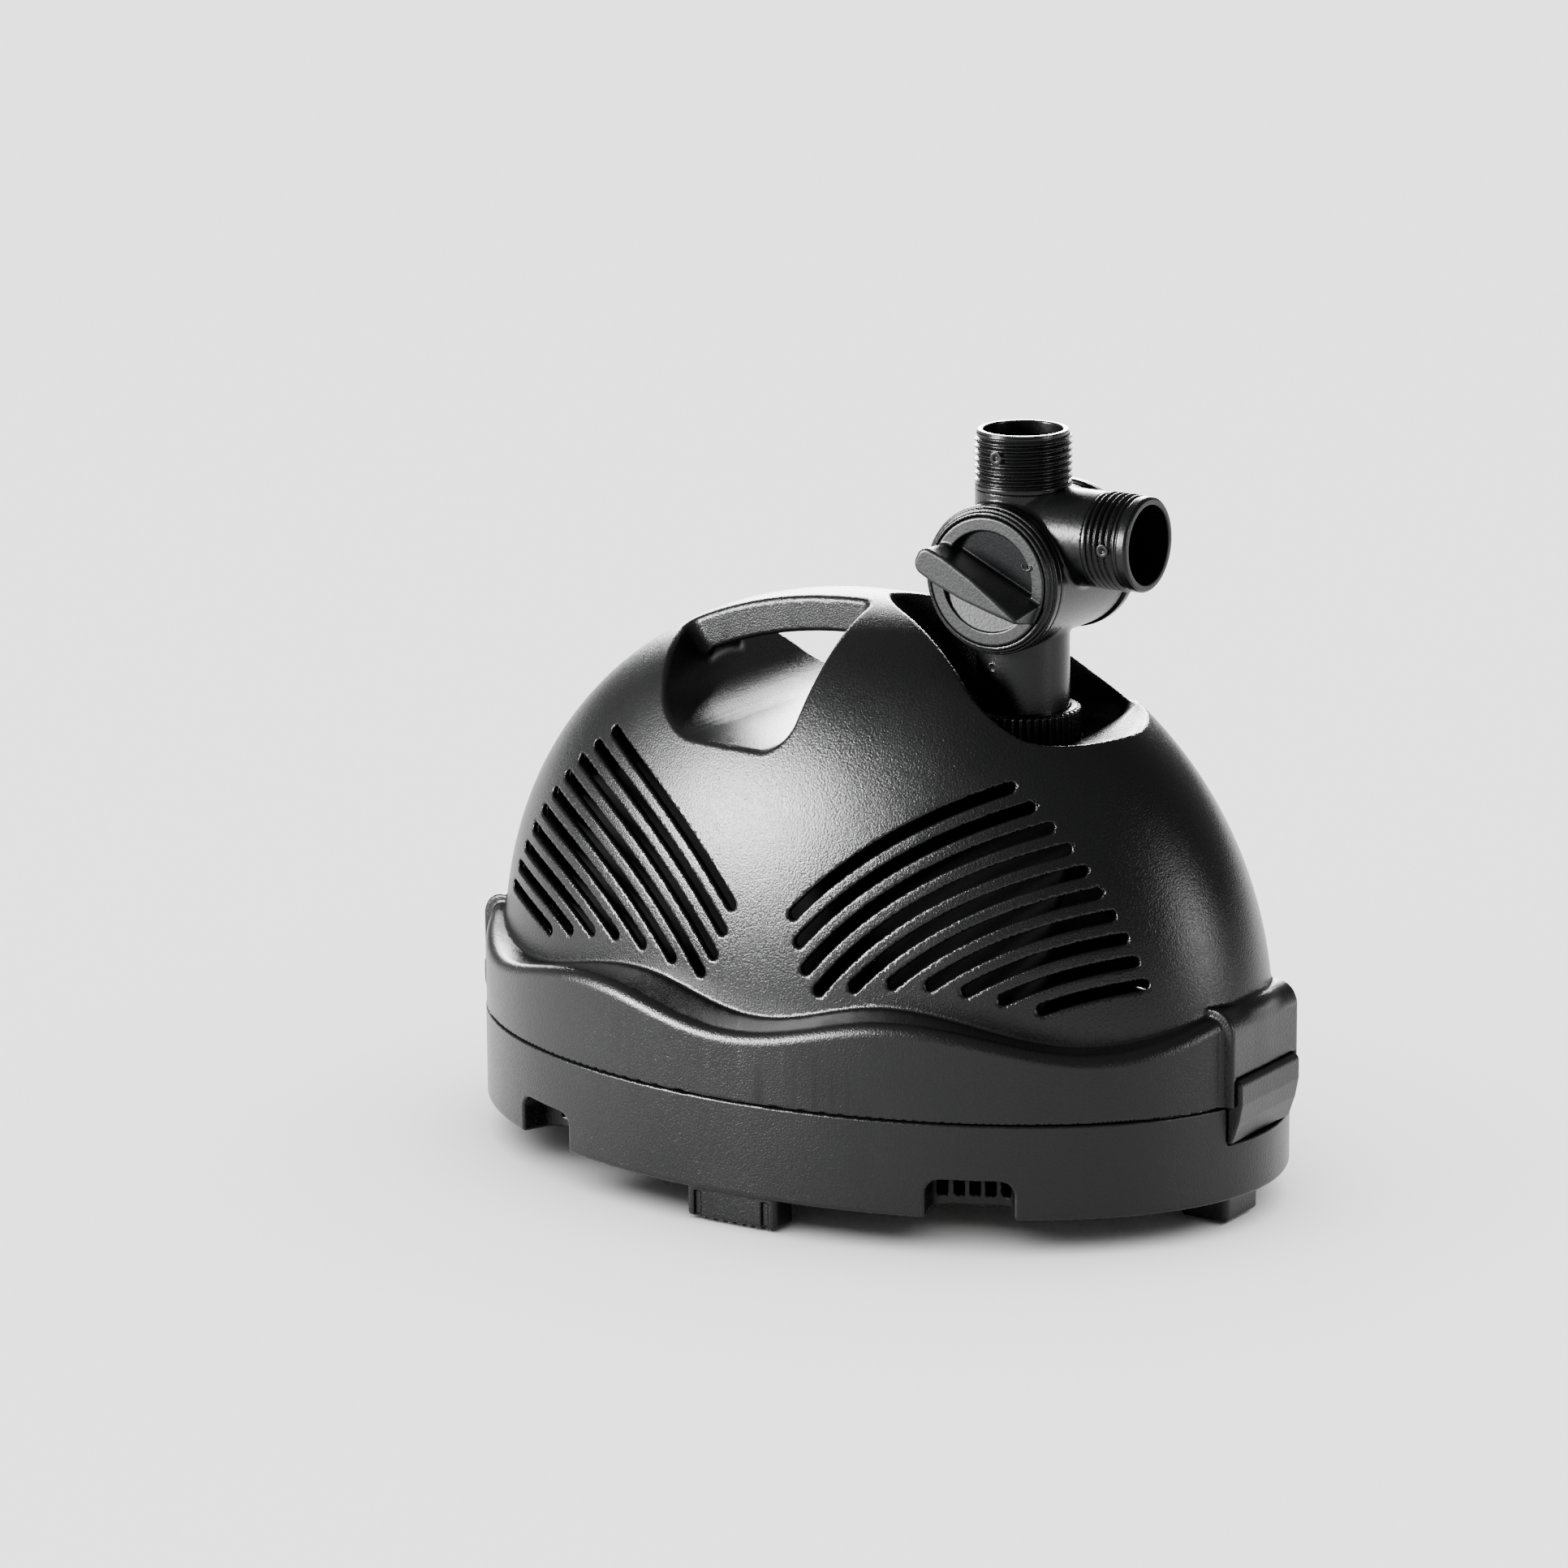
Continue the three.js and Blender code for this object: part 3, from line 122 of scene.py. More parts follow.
def skin(field, low, high, step):
    """The surface of a field as points and four-sided faces, one point in each cell it crosses."""
    axes = [np.arange(a, b + step, step) for a, b in zip(low, high)]
    values = np.empty([len(a) for a in axes], np.float32)
    for i in range(0, len(axes[0]), 16):
        grid = np.meshgrid(axes[0][i : i + 16], axes[1], axes[2], indexing="ij")
        values[i : i + 16] = field(*(g.astype(np.float32) for g in grid))
    inside = values < 0
    size = [len(a) - 1 for a in axes]
    corners = [(i, j, k) for i in (0, 1) for j in (0, 1) for k in (0, 1)]
    count = np.zeros(size, np.uint8)
    for i, j, k in corners:
        count += inside[i : i + size[0], j : j + size[1], k : k + size[2]]
    crossed = (count > 0) & (count < 8)
    cells = np.argwhere(crossed)
    number = np.full(size, -1, np.int32)
    number[crossed] = np.arange(len(cells))
    total = np.zeros((len(cells), 3))
    hits = np.zeros(len(cells))
    for corner in corners:
        for axis in range(3):
            if corner[axis]:
                continue
            other = list(corner)
            other[axis] = 1
            first = values[tuple((cells + corner).T)]
            second = values[tuple((cells + other).T)]
            cuts = (first < 0) != (second < 0)
            share = np.where(cuts, first / np.where(cuts, first - second, 1), 0)
            spot = np.tile(np.array(corner, float), (len(cells), 1))
            spot[:, axis] += share
            total += spot * cuts[:, None]
            hits += cuts
    points = (cells + total / hits[:, None]) * step + np.array(low)
    faces = []
    for axis in range(3):
        u, v = (axis + 1) % 3, (axis + 2) % 3
        near = [slice(None)] * 3
        far = [slice(None)] * 3
        near[axis], far[axis] = slice(None, -1), slice(1, None)
        edges = np.argwhere(inside[tuple(near)] != inside[tuple(far)])
        after_first = (edges[:, u] > 0) & (edges[:, v] > 0)
        before_last = (edges[:, u] < size[u]) & (edges[:, v] < size[v])
        edges = edges[after_first & before_last]
        du, dv = np.eye(3, dtype=int)[u], np.eye(3, dtype=int)[v]
        ring = np.stack([number[tuple((edges - s).T)] for s in (0 * du, du, du + dv, dv)], 1)
        turned = ~inside[tuple(edges.T)]
        ring[turned] = ring[turned][:, ::-1]
        faces.append(ring)
    return points, np.concatenate(faces)


def shape_mesh(name, points, faces):
    mesh = bpy.data.meshes.new(name)
    mesh.from_pydata((points * MM).tolist(), [], faces.tolist())
    mesh.update()
    return mesh


def moulded(name, field, low, high, step, most=190000):
    """A closed moulding from its field: skinned, thinned where it is plain, and shaded true."""
    points, faces = skin(field, low, high, step)
    points = settle(field, points, 0.4 * step)
    thing = bpy.data.objects.new(name, shape_mesh(name, points, faces))
    bpy.context.scene.collection.objects.link(thing)
    if 2 * len(faces) > most:
        thinner = thing.modifiers.new("thinner", "DECIMATE")
        thinner.ratio = most / (2 * len(faces))
        graph = bpy.context.evaluated_depsgraph_get()
        thinned = bpy.data.meshes.new_from_object(thing.evaluated_get(graph))
        thing.modifiers.remove(thinner)
        thing.data = thinned
        thing.data.name = name
    count = len(thing.data.vertices)
    flat = np.empty(3 * count, np.float32)
    thing.data.vertices.foreach_get("co", flat)
    points = settle(field, flat.reshape(-1, 3).astype(float) / MM, 0.2 * step)
    thing.data.vertices.foreach_set("co", (points * MM).astype(np.float32).ravel())
    slope = slope_of(field, points)
    slope /= np.maximum(np.linalg.norm(slope, axis=1), 1e-6)[:, None]
    thing.data.shade_smooth()
    thing.data.normals_split_custom_set_from_vertices(slope.tolist())
    thing.data.update()
    return thing


RIM_X, RIM_Y = 152.4, 100.5
WALL = 3.0
LOWER_TOP, UPPER_BOTTOM = 45.3, 45.7
FLOOR = 12.5
ARCH_ANGLE = math.radians(55.7)
ARCH_HALF, ARCH_TOP, ARCH_DEPTH = 15.0, 26.0, 16.0
LATCH_HALF, LATCH_LOW, LATCH_HIGH = 20.3, 32.5, 55.2
END_BOSS_HALF, END_BACKING = 22.8, (143, 148.2)
SIDE_FOOT_Y, END_FOOT_X = 91, 135
REAR_POST_X, FRONT_POST_X, POST_Y, POST_HOLE = -44, 14, 52, 1.6
CABLE_X, CABLE_Z = -62, 37.5


def arch_frame(x, y):
    """Distance out from the rim and along it, from the middle of the nearest arch."""
    middle_x, middle_y = RIM_X * math.cos(ARCH_ANGLE), RIM_Y * math.sin(ARCH_ANGLE)
    facing = math.atan2(middle_y / RIM_Y**2, middle_x / RIM_X**2)
    dx, dy = np.abs(x) - middle_x, np.abs(y) - middle_y
    out = dx * math.cos(facing) + dy * math.sin(facing)
    return out, dy * math.cos(facing) - dx * math.sin(facing)


def latch_room(x, y, z):
    tall = slab(z, LATCH_LOW - 0.3, LATCH_HIGH + 0.3)
    return both(both(np.abs(y) - LATCH_HALF - 0.3, tall, 1.0), 148.5 - np.abs(x))


def from_post(x):
    """Distance along x from the nearer pair of motor posts."""
    halfway = (REAR_POST_X + FRONT_POST_X) / 2
    return np.where(x > halfway, x - FRONT_POST_X, x - REAR_POST_X)


def lower_field(x, y, z):
    side = oval_wall(x, y, RIM_X, RIM_Y)
    outside = both(both(side, FLOOR - z, 1.2), z - LOWER_TOP, 0.5)
    inside = both(side + WALL, FLOOR + WALL - z, 2.0)
    out, along = arch_frame(x, y)
    arch = both(np.abs(along) - ARCH_HALF, z - ARCH_TOP, 5.0)
    arch_inner = both(np.abs(along) - ARCH_HALF - WALL, z - ARCH_TOP - WALL, 5.0)
    shell = without(outside, both(arch, -ARCH_DEPTH - out, 7.0), 0.8)
    inside = without(inside, both(arch_inner, -ARCH_DEPTH - WALL - out, 10.0), 1.0)
    shell = without(shell, inside, 0.4)
    pitch = (2 * ARCH_HALF - 3) / 5
    across = along - pitch * np.clip(np.round(along / pitch), -2, 2)
    gap = both(np.abs(across) - 1.6, slab(z, FLOOR + WALL + 1, ARCH_TOP - 2), 0.6)
    shell = without(shell, both(gap, slab(out, -ARCH_DEPTH - 2 * WALL, -ARCH_DEPTH + 1)), 0.4)
    backing = both(np.abs(y) - END_BOSS_HALF, slab(np.abs(x), *END_BACKING), 0.5)
    shell = either(shell, both(backing, slab(z, 22, LOWER_TOP), 0.3), 0.6)
    shell = without(shell, latch_room(x, y, z), 0.5)
    long_foot = both(np.abs(x) - 18, np.abs(np.abs(y) - SIDE_FOOT_Y) - 6, 2.0)
    end_foot = both(np.abs(np.abs(x) - END_FOOT_X) - 9, np.abs(y) - 11, 2.0)
    feet = both(np.minimum(long_foot, end_foot), slab(z, 1.5, FLOOR + 1), 1.0)
    shell = either(shell, feet, 1.0)
    key = both(np.abs(np.abs(x) - 13.5) - 1.1, slab(z, 2, FLOOR - 2), 0.4)
    shell = without(shell, both(key, 95.9 - np.abs(y)), 0.4)
    under = np.minimum(long_foot, end_foot) + 2.5
    shell = without(shell, both(under, z - 3.3, 0.2), 0.3)
    tab = both(np.abs(x) - 14, np.abs(np.abs(y) - 94.55) - 1.05, 0.5)
    shell = either(shell, both(tab, slab(z, 30, LOWER_TOP + 5), 0.5), 0.5)
    post = np.hypot(from_post(x), np.abs(y) - POST_Y)
    posts = both(post - 7 + 2 * (z - 13) / 45, slab(z, 13, 58), 0.3)
    shell = without(either(shell, posts, 1.5), both(post - POST_HOLE, 38 - z), 0.2)
    cable = np.hypot(x - CABLE_X, z - CABLE_Z) - 7
    notch = both(np.minimum(cable, both(np.abs(x - CABLE_X) - 7, CABLE_Z - z)), slab(y, 70, 110))
    return without(shell, notch, 0.4)


def add_bump(tree, shader, height, depth, after=None):
    bump = tree.nodes.new("ShaderNodeBump")
    bump.inputs["Strength"].default_value = 1.0
    bump.inputs["Distance"].default_value = depth
    tree.links.new(height, bump.inputs["Height"])
    if after:
        tree.links.new(after, bump.inputs["Normal"])
    if shader:
        tree.links.new(bump.outputs["Normal"], shader.inputs["Normal"])
    return bump.outputs["Normal"]


def spread(tree, source, low, high, to_low, to_high):
    """Maps a value from one span to another, and holds it within it."""
    ramp = tree.nodes.new("ShaderNodeMapRange")
    ramp.inputs["From Min"].default_value = low
    ramp.inputs["From Max"].default_value = high
    ramp.inputs["To Min"].default_value = to_low
    ramp.inputs["To Max"].default_value = to_high
    tree.links.new(source, ramp.inputs["Value"])
    return ramp.outputs["Result"]


def noise(tree, where, scale, detail=3.0, rough=0.55):
    made = tree.nodes.new("ShaderNodeTexNoise")
    made.inputs["Scale"].default_value = scale
    made.inputs["Detail"].default_value = detail
    made.inputs["Roughness"].default_value = rough
    tree.links.new(where, made.inputs["Vector"])
    return made.outputs["Fac"]


def black_moulding(name, colour, rough, grain, depth, wear=0.5, specular=0.5):
    """Black plastic: fine mould grain, faint flow in the gloss, and paler patches of wear."""
    made = bpy.data.materials.new(name)
    made.use_nodes = True
    tree = made.node_tree
    shader = tree.nodes["Principled BSDF"]
    shader.inputs["Specular IOR Level"].default_value = specular
    where = tree.nodes.new("ShaderNodeTexCoord").outputs["Object"]
    tint = tree.nodes.new("ShaderNodeMix")
    tint.data_type = "RGBA"
    tint.inputs["A"].default_value = (*colour, 1)
    tint.inputs["B"].default_value = (*(c * 2 + 0.001 for c in colour), 1)
    cloud = noise(tree, where, 34, 4)
    tree.links.new(spread(tree, cloud, 0.35, 0.75, 0, 0.55 * wear), tint.inputs["Factor"])
    tree.links.new(tint.outputs["Result"], shader.inputs["Base Color"])
    fine = noise(tree, where, grain, 2, 0.6)
    flow = noise(tree, where, 12, 3)
    gloss = tree.nodes.new("ShaderNodeMath")
    gloss.operation = "ADD"
    tree.links.new(spread(tree, flow, 0.3, 0.7, rough - 0.05, rough + 0.06), gloss.inputs[0])
    tree.links.new(spread(tree, fine, 0.3, 0.7, -0.03, 0.05), gloss.inputs[1])
    tree.links.new(gloss.outputs["Value"], shader.inputs["Roughness"])
    shallow = add_bump(tree, None, noise(tree, where, 60, 2), depth * 0.6)
    add_bump(tree, shader, fine, depth, shallow)
    return made


def finish_piece(thing, body, material, slot_name, *stands_for):
    thing.data.materials.clear()
    thing.data.materials.append(material)
    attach(thing, body)
    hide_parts(*stands_for)


DEEP_BLACK = (0.0009, 0.00092, 0.001)
shell_black = black_moulding("shell_black", DEEP_BLACK, 0.28, 1500, 0.00016, 0.2, 0.2)
low, high = (-155, -104, 0), (155, 104, 60)
lower_shell = moulded("lower_shell_moulding", lower_field, low, high, 1.0, 160000)
finish_piece(lower_shell, "base", shell_black, "shell_black", "lower_shell")

# ---- Foot pads and cable grommet ----
# Soft black rubber: four blocks pressed into the feet, with grooves across the underside for grip,
# and a bored plug that fills the notch where the cable passes through the wall.

rubber_black = black_moulding("rubber_black", (0.008, 0.008, 0.0085), 0.6, 700, 0.00012, 1.0, 0.3)
FEET = (
    ("front", 0, -SIDE_FOOT_Y),
    ("rear", 0, SIDE_FOOT_Y),
    ("left", -END_FOOT_X, 0),
    ("right", END_FOOT_X, 0),
)


def pad_field(x, y, z):
    long_pad = both(np.abs(x) - 15.2, np.abs(np.abs(y) - SIDE_FOOT_Y) - 3.2, 1.2)
    end_pad = both(np.abs(np.abs(x) - END_FOOT_X) - 6.2, np.abs(y) - 8.2, 1.2)
    pad = both(np.minimum(long_pad, end_pad), slab(z, 0, 3.0), 0.6)
    run = np.where(np.abs(y) > 50, x, y)
    return without(pad, np.hypot(run - 3.8 * np.round(run / 3.8), z + 0.2) - 0.95, 0.2)


for side, foot_x, foot_y in FEET:
    low, high = (foot_x - 18, foot_y - 11, -1), (foot_x + 18, foot_y + 11, 5)
    pad = moulded("foot_pad_%s_block" % side, pad_field, low, high, 0.5, 20000)
    finish_piece(pad, "base", rubber_black, "rubber_black", "foot_pad_" + side)


def grommet_field(x, y, z):
    reach = np.hypot(x - CABLE_X, z - CABLE_Z)
    upper = both(np.abs(x - CABLE_X) - 6.7, slab(z, CABLE_Z, 45.2))
    plug = both(np.minimum(reach - 6.7, upper), slab(y, 82, 93), 0.5)
    plug = both(plug, oval_wall(x, y, 153.9, 102), 0.5)
    return without(plug, reach - 3.7, 0.6)


grommet = moulded("cable_grommet_plug", grommet_field, (-70, 80, 29), (-54, 95, 47), 0.4, 40000)
finish_piece(grommet, "base", rubber_black, "rubber_black", "cable_grommet")

# ---- Motor parts inside the resin ----
# A laminated steel core with two coils of enamelled copper on black bobbins. They stand round a
# thin plastic can, in which a ferrite magnet turns on a fixed ceramic shaft.

INNER_TINT = (0.0015, 0.00155, 0.0017)
inner_black = black_moulding("inner_black", INNER_TINT, 0.6, 700, 0.00008, 0.2, 0.06)


def speckled(name, colour, other, rough, metal, scale, depth, bands=0.0):
    """A hard material: two close colours mixed by noise, or in fine bands, over a slight bump."""
    made = bpy.data.materials.new(name)
    made.use_nodes = True
    tree = made.node_tree
    shader = tree.nodes["Principled BSDF"]
    shader.inputs["Metallic"].default_value = metal
    shader.inputs["Specular IOR Level"].default_value = 0.5 if metal else 0.2
    where = tree.nodes.new("ShaderNodeTexCoord").outputs["Object"]
    pattern = noise(tree, where, scale, 4, 0.6)
    height = pattern
    if bands:
        wave = tree.nodes.new("ShaderNodeTexWave")
        wave.bands_direction = "Z"
        wave.inputs["Scale"].default_value = bands
        wave.inputs["Distortion"].default_value = 0.3
        tree.links.new(where, wave.inputs["Vector"])
        height = wave.outputs["Fac"]
    tint = tree.nodes.new("ShaderNodeMix")
    tint.data_type = "RGBA"
    tint.inputs["A"].default_value = (*colour, 1)
    tint.inputs["B"].default_value = (*other, 1)
    tree.links.new(spread(tree, height, 0.3, 0.7, 0, 1), tint.inputs["Factor"])
    tree.links.new(tint.outputs["Result"], shader.inputs["Base Color"])
    gloss = spread(tree, pattern, 0.3, 0.7, rough - 0.06, rough + 0.08)
    tree.links.new(gloss, shader.inputs["Roughness"])
    add_bump(tree, shader, height, depth)
    return made


potting_resin = speckled(
    "potting_resin", (0.006, 0.0058, 0.0055), (0.012, 0.011, 0.01), 0.45, 0, 160, 0.0001
)
core_steel = speckled(
    "core_steel", (0.2, 0.2, 0.21), (0.07, 0.07, 0.075), 0.42, 1, 300, 0.0001, 320
)
enamelled_copper = speckled(
    "enamelled_copper", (0.5, 0.17, 0.06), (0.38, 0.12, 0.04), 0.28, 1, 220, 0.00003
)
shaft_ceramic = speckled(
    "shaft_ceramic", (0.78, 0.77, 0.72), (0.7, 0.69, 0.64), 0.2, 0, 200, 0.00002
)
magnet_ferrite = speckled(
    "magnet_ferrite", (0.035, 0.036, 0.04), (0.06, 0.06, 0.062), 0.48, 0, 500, 0.00005
)
screw_steel = speckled(
    "screw_steel", (0.56, 0.55, 0.53), (0.44, 0.43, 0.42), 0.26, 1, 420, 0.00003
)


def refinish(material, *names):
    for name in names:
        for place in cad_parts[name].material_slots:
            place.material = material


refinish(core_steel, "stator_core")
refinish(inner_black, "coil_bobbin_front", "coil_bobbin_rear", "rotor_can")
refinish(shaft_ceramic, "rotor_shaft")
refinish(magnet_ferrite, "magnet_rotor")
refinish(potting_resin, "rear_bush", "front_bush")


def node_tree_with(name, *sockets):
    """A Geometry Nodes tree with the named inputs, and where each input is set on a modifier."""
    tree = bpy.data.node_groups.new(name, "GeometryNodeTree")
    tree.interface.new_socket("Geometry", in_out="INPUT", socket_type="NodeSocketGeometry")
    tree.interface.new_socket("Geometry", in_out="OUTPUT", socket_type="NodeSocketGeometry")
    keys = {}
    for label, kind, value in sockets:
        made = tree.interface.new_socket(label, in_out="INPUT", socket_type="NodeSocket" + kind)
        if value is not None:
            made.default_value = value
        keys[label] = made.identifier
    return tree, keys, tree.nodes.new("NodeGroupInput"), tree.nodes.new("NodeGroupOutput")


def grown(name, mesh, tree, keys, values):
    """The mesh that a tree makes from a starting mesh, as an object with no modifier left."""
    thing = bpy.data.objects.new(name, mesh)
    bpy.context.scene.collection.objects.link(thing)
    grower = thing.modifiers.new("grower", "NODES")
    grower.node_group = tree
    for label, value in values.items():
        grower[keys[label]] = value
    graph = bpy.context.evaluated_depsgraph_get()
    made = bpy.data.meshes.new_from_object(thing.evaluated_get(graph))
    thing.modifiers.clear()
    thing.data = made
    made.name = name
    made.shade_smooth()
    return thing


coil_tree, coil_keys, coil_in, coil_out = node_tree_with(
    "coil_turns",
    ("Turns", "Int", 22),
    ("Pitch", "Float", 0.00086),
    ("Half Width", "Float", 0.0078),
    ("Half Height", "Float", 0.0176),
    ("Wire", "Float", 0.00042),
    ("Finish", "Material", None),
)
nodes, link = coil_tree.nodes, coil_tree.links
loop = nodes.new("GeometryNodeCurvePrimitiveQuadrilateral")
for size, label in (("Width", "Half Width"), ("Height", "Half Height")):
    twice = nodes.new("ShaderNodeMath")
    twice.operation = "MULTIPLY"
    twice.inputs[1].default_value = 2
    link.new(coil_in.outputs[label], twice.inputs[0])
    link.new(twice.outputs["Value"], loop.inputs[size])
corner = nodes.new("GeometryNodeFilletCurve")
corner.mode = "POLY"
corner.inputs["Radius"].default_value = 0.0018
corner.inputs["Count"].default_value = 4
link.new(loop.outputs["Curve"], corner.inputs["Curve"])
wire_round = nodes.new("GeometryNodeCurvePrimitiveCircle")
wire_round.inputs["Resolution"].default_value = 8
link.new(coil_in.outputs["Wire"], wire_round.inputs["Radius"])
wire = nodes.new("GeometryNodeCurveToMesh")
link.new(corner.outputs["Curve"], wire.inputs["Curve"])
link.new(wire_round.outputs["Curve"], wire.inputs["Profile Curve"])
upright = nodes.new("GeometryNodeTransform")
upright.inputs["Rotation"].default_value = (math.pi / 2, 0, math.pi / 2)
link.new(wire.outputs["Mesh"], upright.inputs["Geometry"])
row = nodes.new("GeometryNodeMeshLine")
link.new(coil_in.outputs["Turns"], row.inputs["Count"])
offset = nodes.new("ShaderNodeCombineXYZ")
link.new(coil_in.outputs["Pitch"], offset.inputs["X"])
link.new(offset.outputs["Vector"], row.inputs["Offset"])
copies = nodes.new("GeometryNodeInstanceOnPoints")
link.new(row.outputs["Mesh"], copies.inputs["Points"])
link.new(upright.outputs["Geometry"], copies.inputs["Instance"])
real = nodes.new("GeometryNodeRealizeInstances")
link.new(copies.outputs["Instances"], real.inputs["Geometry"])
painted = nodes.new("GeometryNodeSetMaterial")
link.new(real.outputs["Geometry"], painted.inputs["Geometry"])
link.new(coil_in.outputs["Finish"], painted.inputs["Material"])
link.new(painted.outputs["Geometry"], coil_out.inputs["Geometry"])

for side, node in ((-1, "coil_winding_front"), (1, "coil_winding_rear")):
    start = bpy.data.meshes.new(node + "_start")
    values = {"Turns": 22, "Finish": enamelled_copper}
    turns = grown(node + "_turns", start, coil_tree, coil_keys, values)
    turns.data.transform(Matrix.Translation((-0.04405, 0.026 * side, 0.066)))
    finish_piece(turns, "base", enamelled_copper, "enamelled_copper", node)

# ---- Motor housing ----
# A black moulded cup, lying on its side, with four lugs and four screw bosses. Its back end is
# closed with poured black resin, and the cable leaves through a gland with a hexagonal nut.

AXIS_Z, GLAND_Z = 66.0, 92
BOSS = 39.5 * math.sqrt(0.5)
MOTOR_R, MOTOR_BACK, MOTOR_FRONT = 44, -60, 30
GROOVE_PITCH, GROOVE_MIDDLE, GROOVE_HALF = 12, -15, 4


def motor_field(x, y, z):
    reach = np.hypot(y, z - AXIS_Z)
    cup = both(reach - MOTOR_R, slab(x, MOTOR_BACK, MOTOR_FRONT), 2.5)
    along = x - GROOVE_MIDDLE
    on_rib = np.abs(along - GROOVE_PITCH * np.round(along / GROOVE_PITCH)) > GROOVE_HALF
    cup = without(cup, np.abs(reach - (MOTOR_R + 0.6)) - 1.1 + 1000 * on_rib, 0.3)
    post_x = from_post(x)
    lug = both(both(np.abs(post_x) - 7, slab(np.abs(y), 38, 59), 3.0), slab(z, 62, 67), 0.8)
    body = without(either(cup, lug, 1.5), both(reach - 41, x - 27), 0.5)
    boss = np.hypot(np.abs(y) - BOSS, np.abs(z - AXIS_Z) - BOSS)
    body = either(body, both(boss - 5, slab(x, 14, MOTOR_FRONT), 0.6), 0.8)
    body = without(body, both(boss - 1.6, 17 - x), 0.2)
    body = without(body, both(reach - 17.3, -x), 0.5)
    return without(body, both(np.hypot(post_x, np.abs(y) - POST_Y) - 2.4, slab(z, 60, 70)), 0.3)


motor = moulded("motor_housing_cup", motor_field, (-62, -61, 20), (32, 61, 112), 1.0, 130000)
finish_piece(motor, "base", inner_black, "inner_black", "motor_housing")


def potting_field(x, y, z):
    sagged = -61 + 0.4 * np.cos(y / 9) * np.sin(z / 7)
    pour = both(np.hypot(y, z - AXIS_Z) - 40.7, slab(x, sagged, -56.5), 0.8)
    return without(pour, np.hypot(y, z - GLAND_Z) - 7.3, 0.4)


potting = moulded("potting_fill", potting_field, (-63, -42, 23), (-55, 42, 109), 0.7, 60000)
finish_piece(potting, "base", potting_resin, "potting_resin", "potting_block")


def gland_field(x, y, z):
    reach = np.hypot(y, z - GLAND_Z)
    flange = both(reach - 9.5, slab(x, -65, -61.3), 0.6)
    gland = either(both(reach - 7, slab(x, -61.5, -57)), flange)
    gland = either(gland, both(reach - 6.4, slab(x, -72, -61.5), 0.4), 0.2)
    return without(gland, reach - 3.7, 0.5)


def gland_nut_field(x, y, z):
    dz = z - GLAND_Z
    reach = np.hypot(y, dz)
    slanted = np.maximum(np.abs(0.866 * y + 0.5 * dz), np.abs(0.866 * y - 0.5 * dz))
    sides = np.maximum(np.abs(dz), slanted)
    nut = both(both(sides - 8.7, slab(x, -77, -65.3), 0.5), reach - 9.7 - (x + 77) * 0.5, 0.5)
    nut = without(nut, both(reach - 6.8, -73 - x), 0.3)
    return without(nut, reach - 3.7, 0.8)


gland = moulded("cable_gland_body", gland_field, (-73, -11, 81), (-56, 11, 103), 0.45, 30000)
finish_piece(gland, "base", inner_black, "inner_black", "cable_gland")
low, high = (-78, -11, 81), (-64, 11, 103)
gland_nut = moulded("gland_nut_hexagon", gland_nut_field, low, high, 0.45, 30000)
finish_piece(gland_nut, "base", inner_black, "inner_black", "gland_nut")

# ---- Impeller and pump chamber ----
# Black mouldings in front of the motor: an open impeller with six straight blades, the chamber it
# turns in with its threaded outlet pipe, a rubber seal and a cover with the round intake.


def impeller_field(x, y, z):
    dz = z - AXIS_Z
    reach, around = np.hypot(y, dz), np.arctan2(dz, y)
    hub = both(reach - 7, slab(x, 14.3, 58), 0.5)
    wheel = either(hub, both(reach - 26, slab(x, 47, 49.5), 0.6), 1.2)
    turn = around - math.pi / 3 * np.round(around / (math.pi / 3))
    blade = both(np.abs(reach * np.sin(turn)) - 1.2, slab(reach, 5, 25.5), 0.5)
    wheel = either(wheel, both(blade, slab(x, 48, 62), 0.5), 0.8)
    return without(wheel, reach - 4.3, 0.3)


impeller = moulded("impeller_wheel", impeller_field, (13, -27, 39), (63, 27, 93), 0.7, 80000)
finish_piece(impeller, "rotor", inner_black, "inner_black", "impeller")

SIDE_Z, DRUM_Z = 229.5, 216.0
VALVE_X = 57.5
PITCH, THREAD_R, THREAD_DEEP = 2.309, 16.62, 1.15
OUTLET_ROOT, OUTLET_TOP = 147, 161
COVER_FACE = 74.3


def pipe_thread(along, reach, around, first, last):
    """A pipe that is plain up to first and threaded from there to last."""
    phase = along / PITCH - around / (2 * np.pi)
    crest = 1 - np.abs(2 * (phase - np.floor(phase)) - 1)
    crest = np.clip(1.25 * crest - 0.12, 0, 1)
    share = np.clip((along - first) / 1.4, 0, 1) * np.clip((last + 0.4 - along) / 1.6, 0, 1)
    cut = THREAD_R - THREAD_DEEP * (1 - crest)
    radius = np.where(along < first + 2, THREAD_R - 0.3, THREAD_R - THREAD_DEEP)
    return (reach - radius * (1 - share) - cut * share) * 0.85


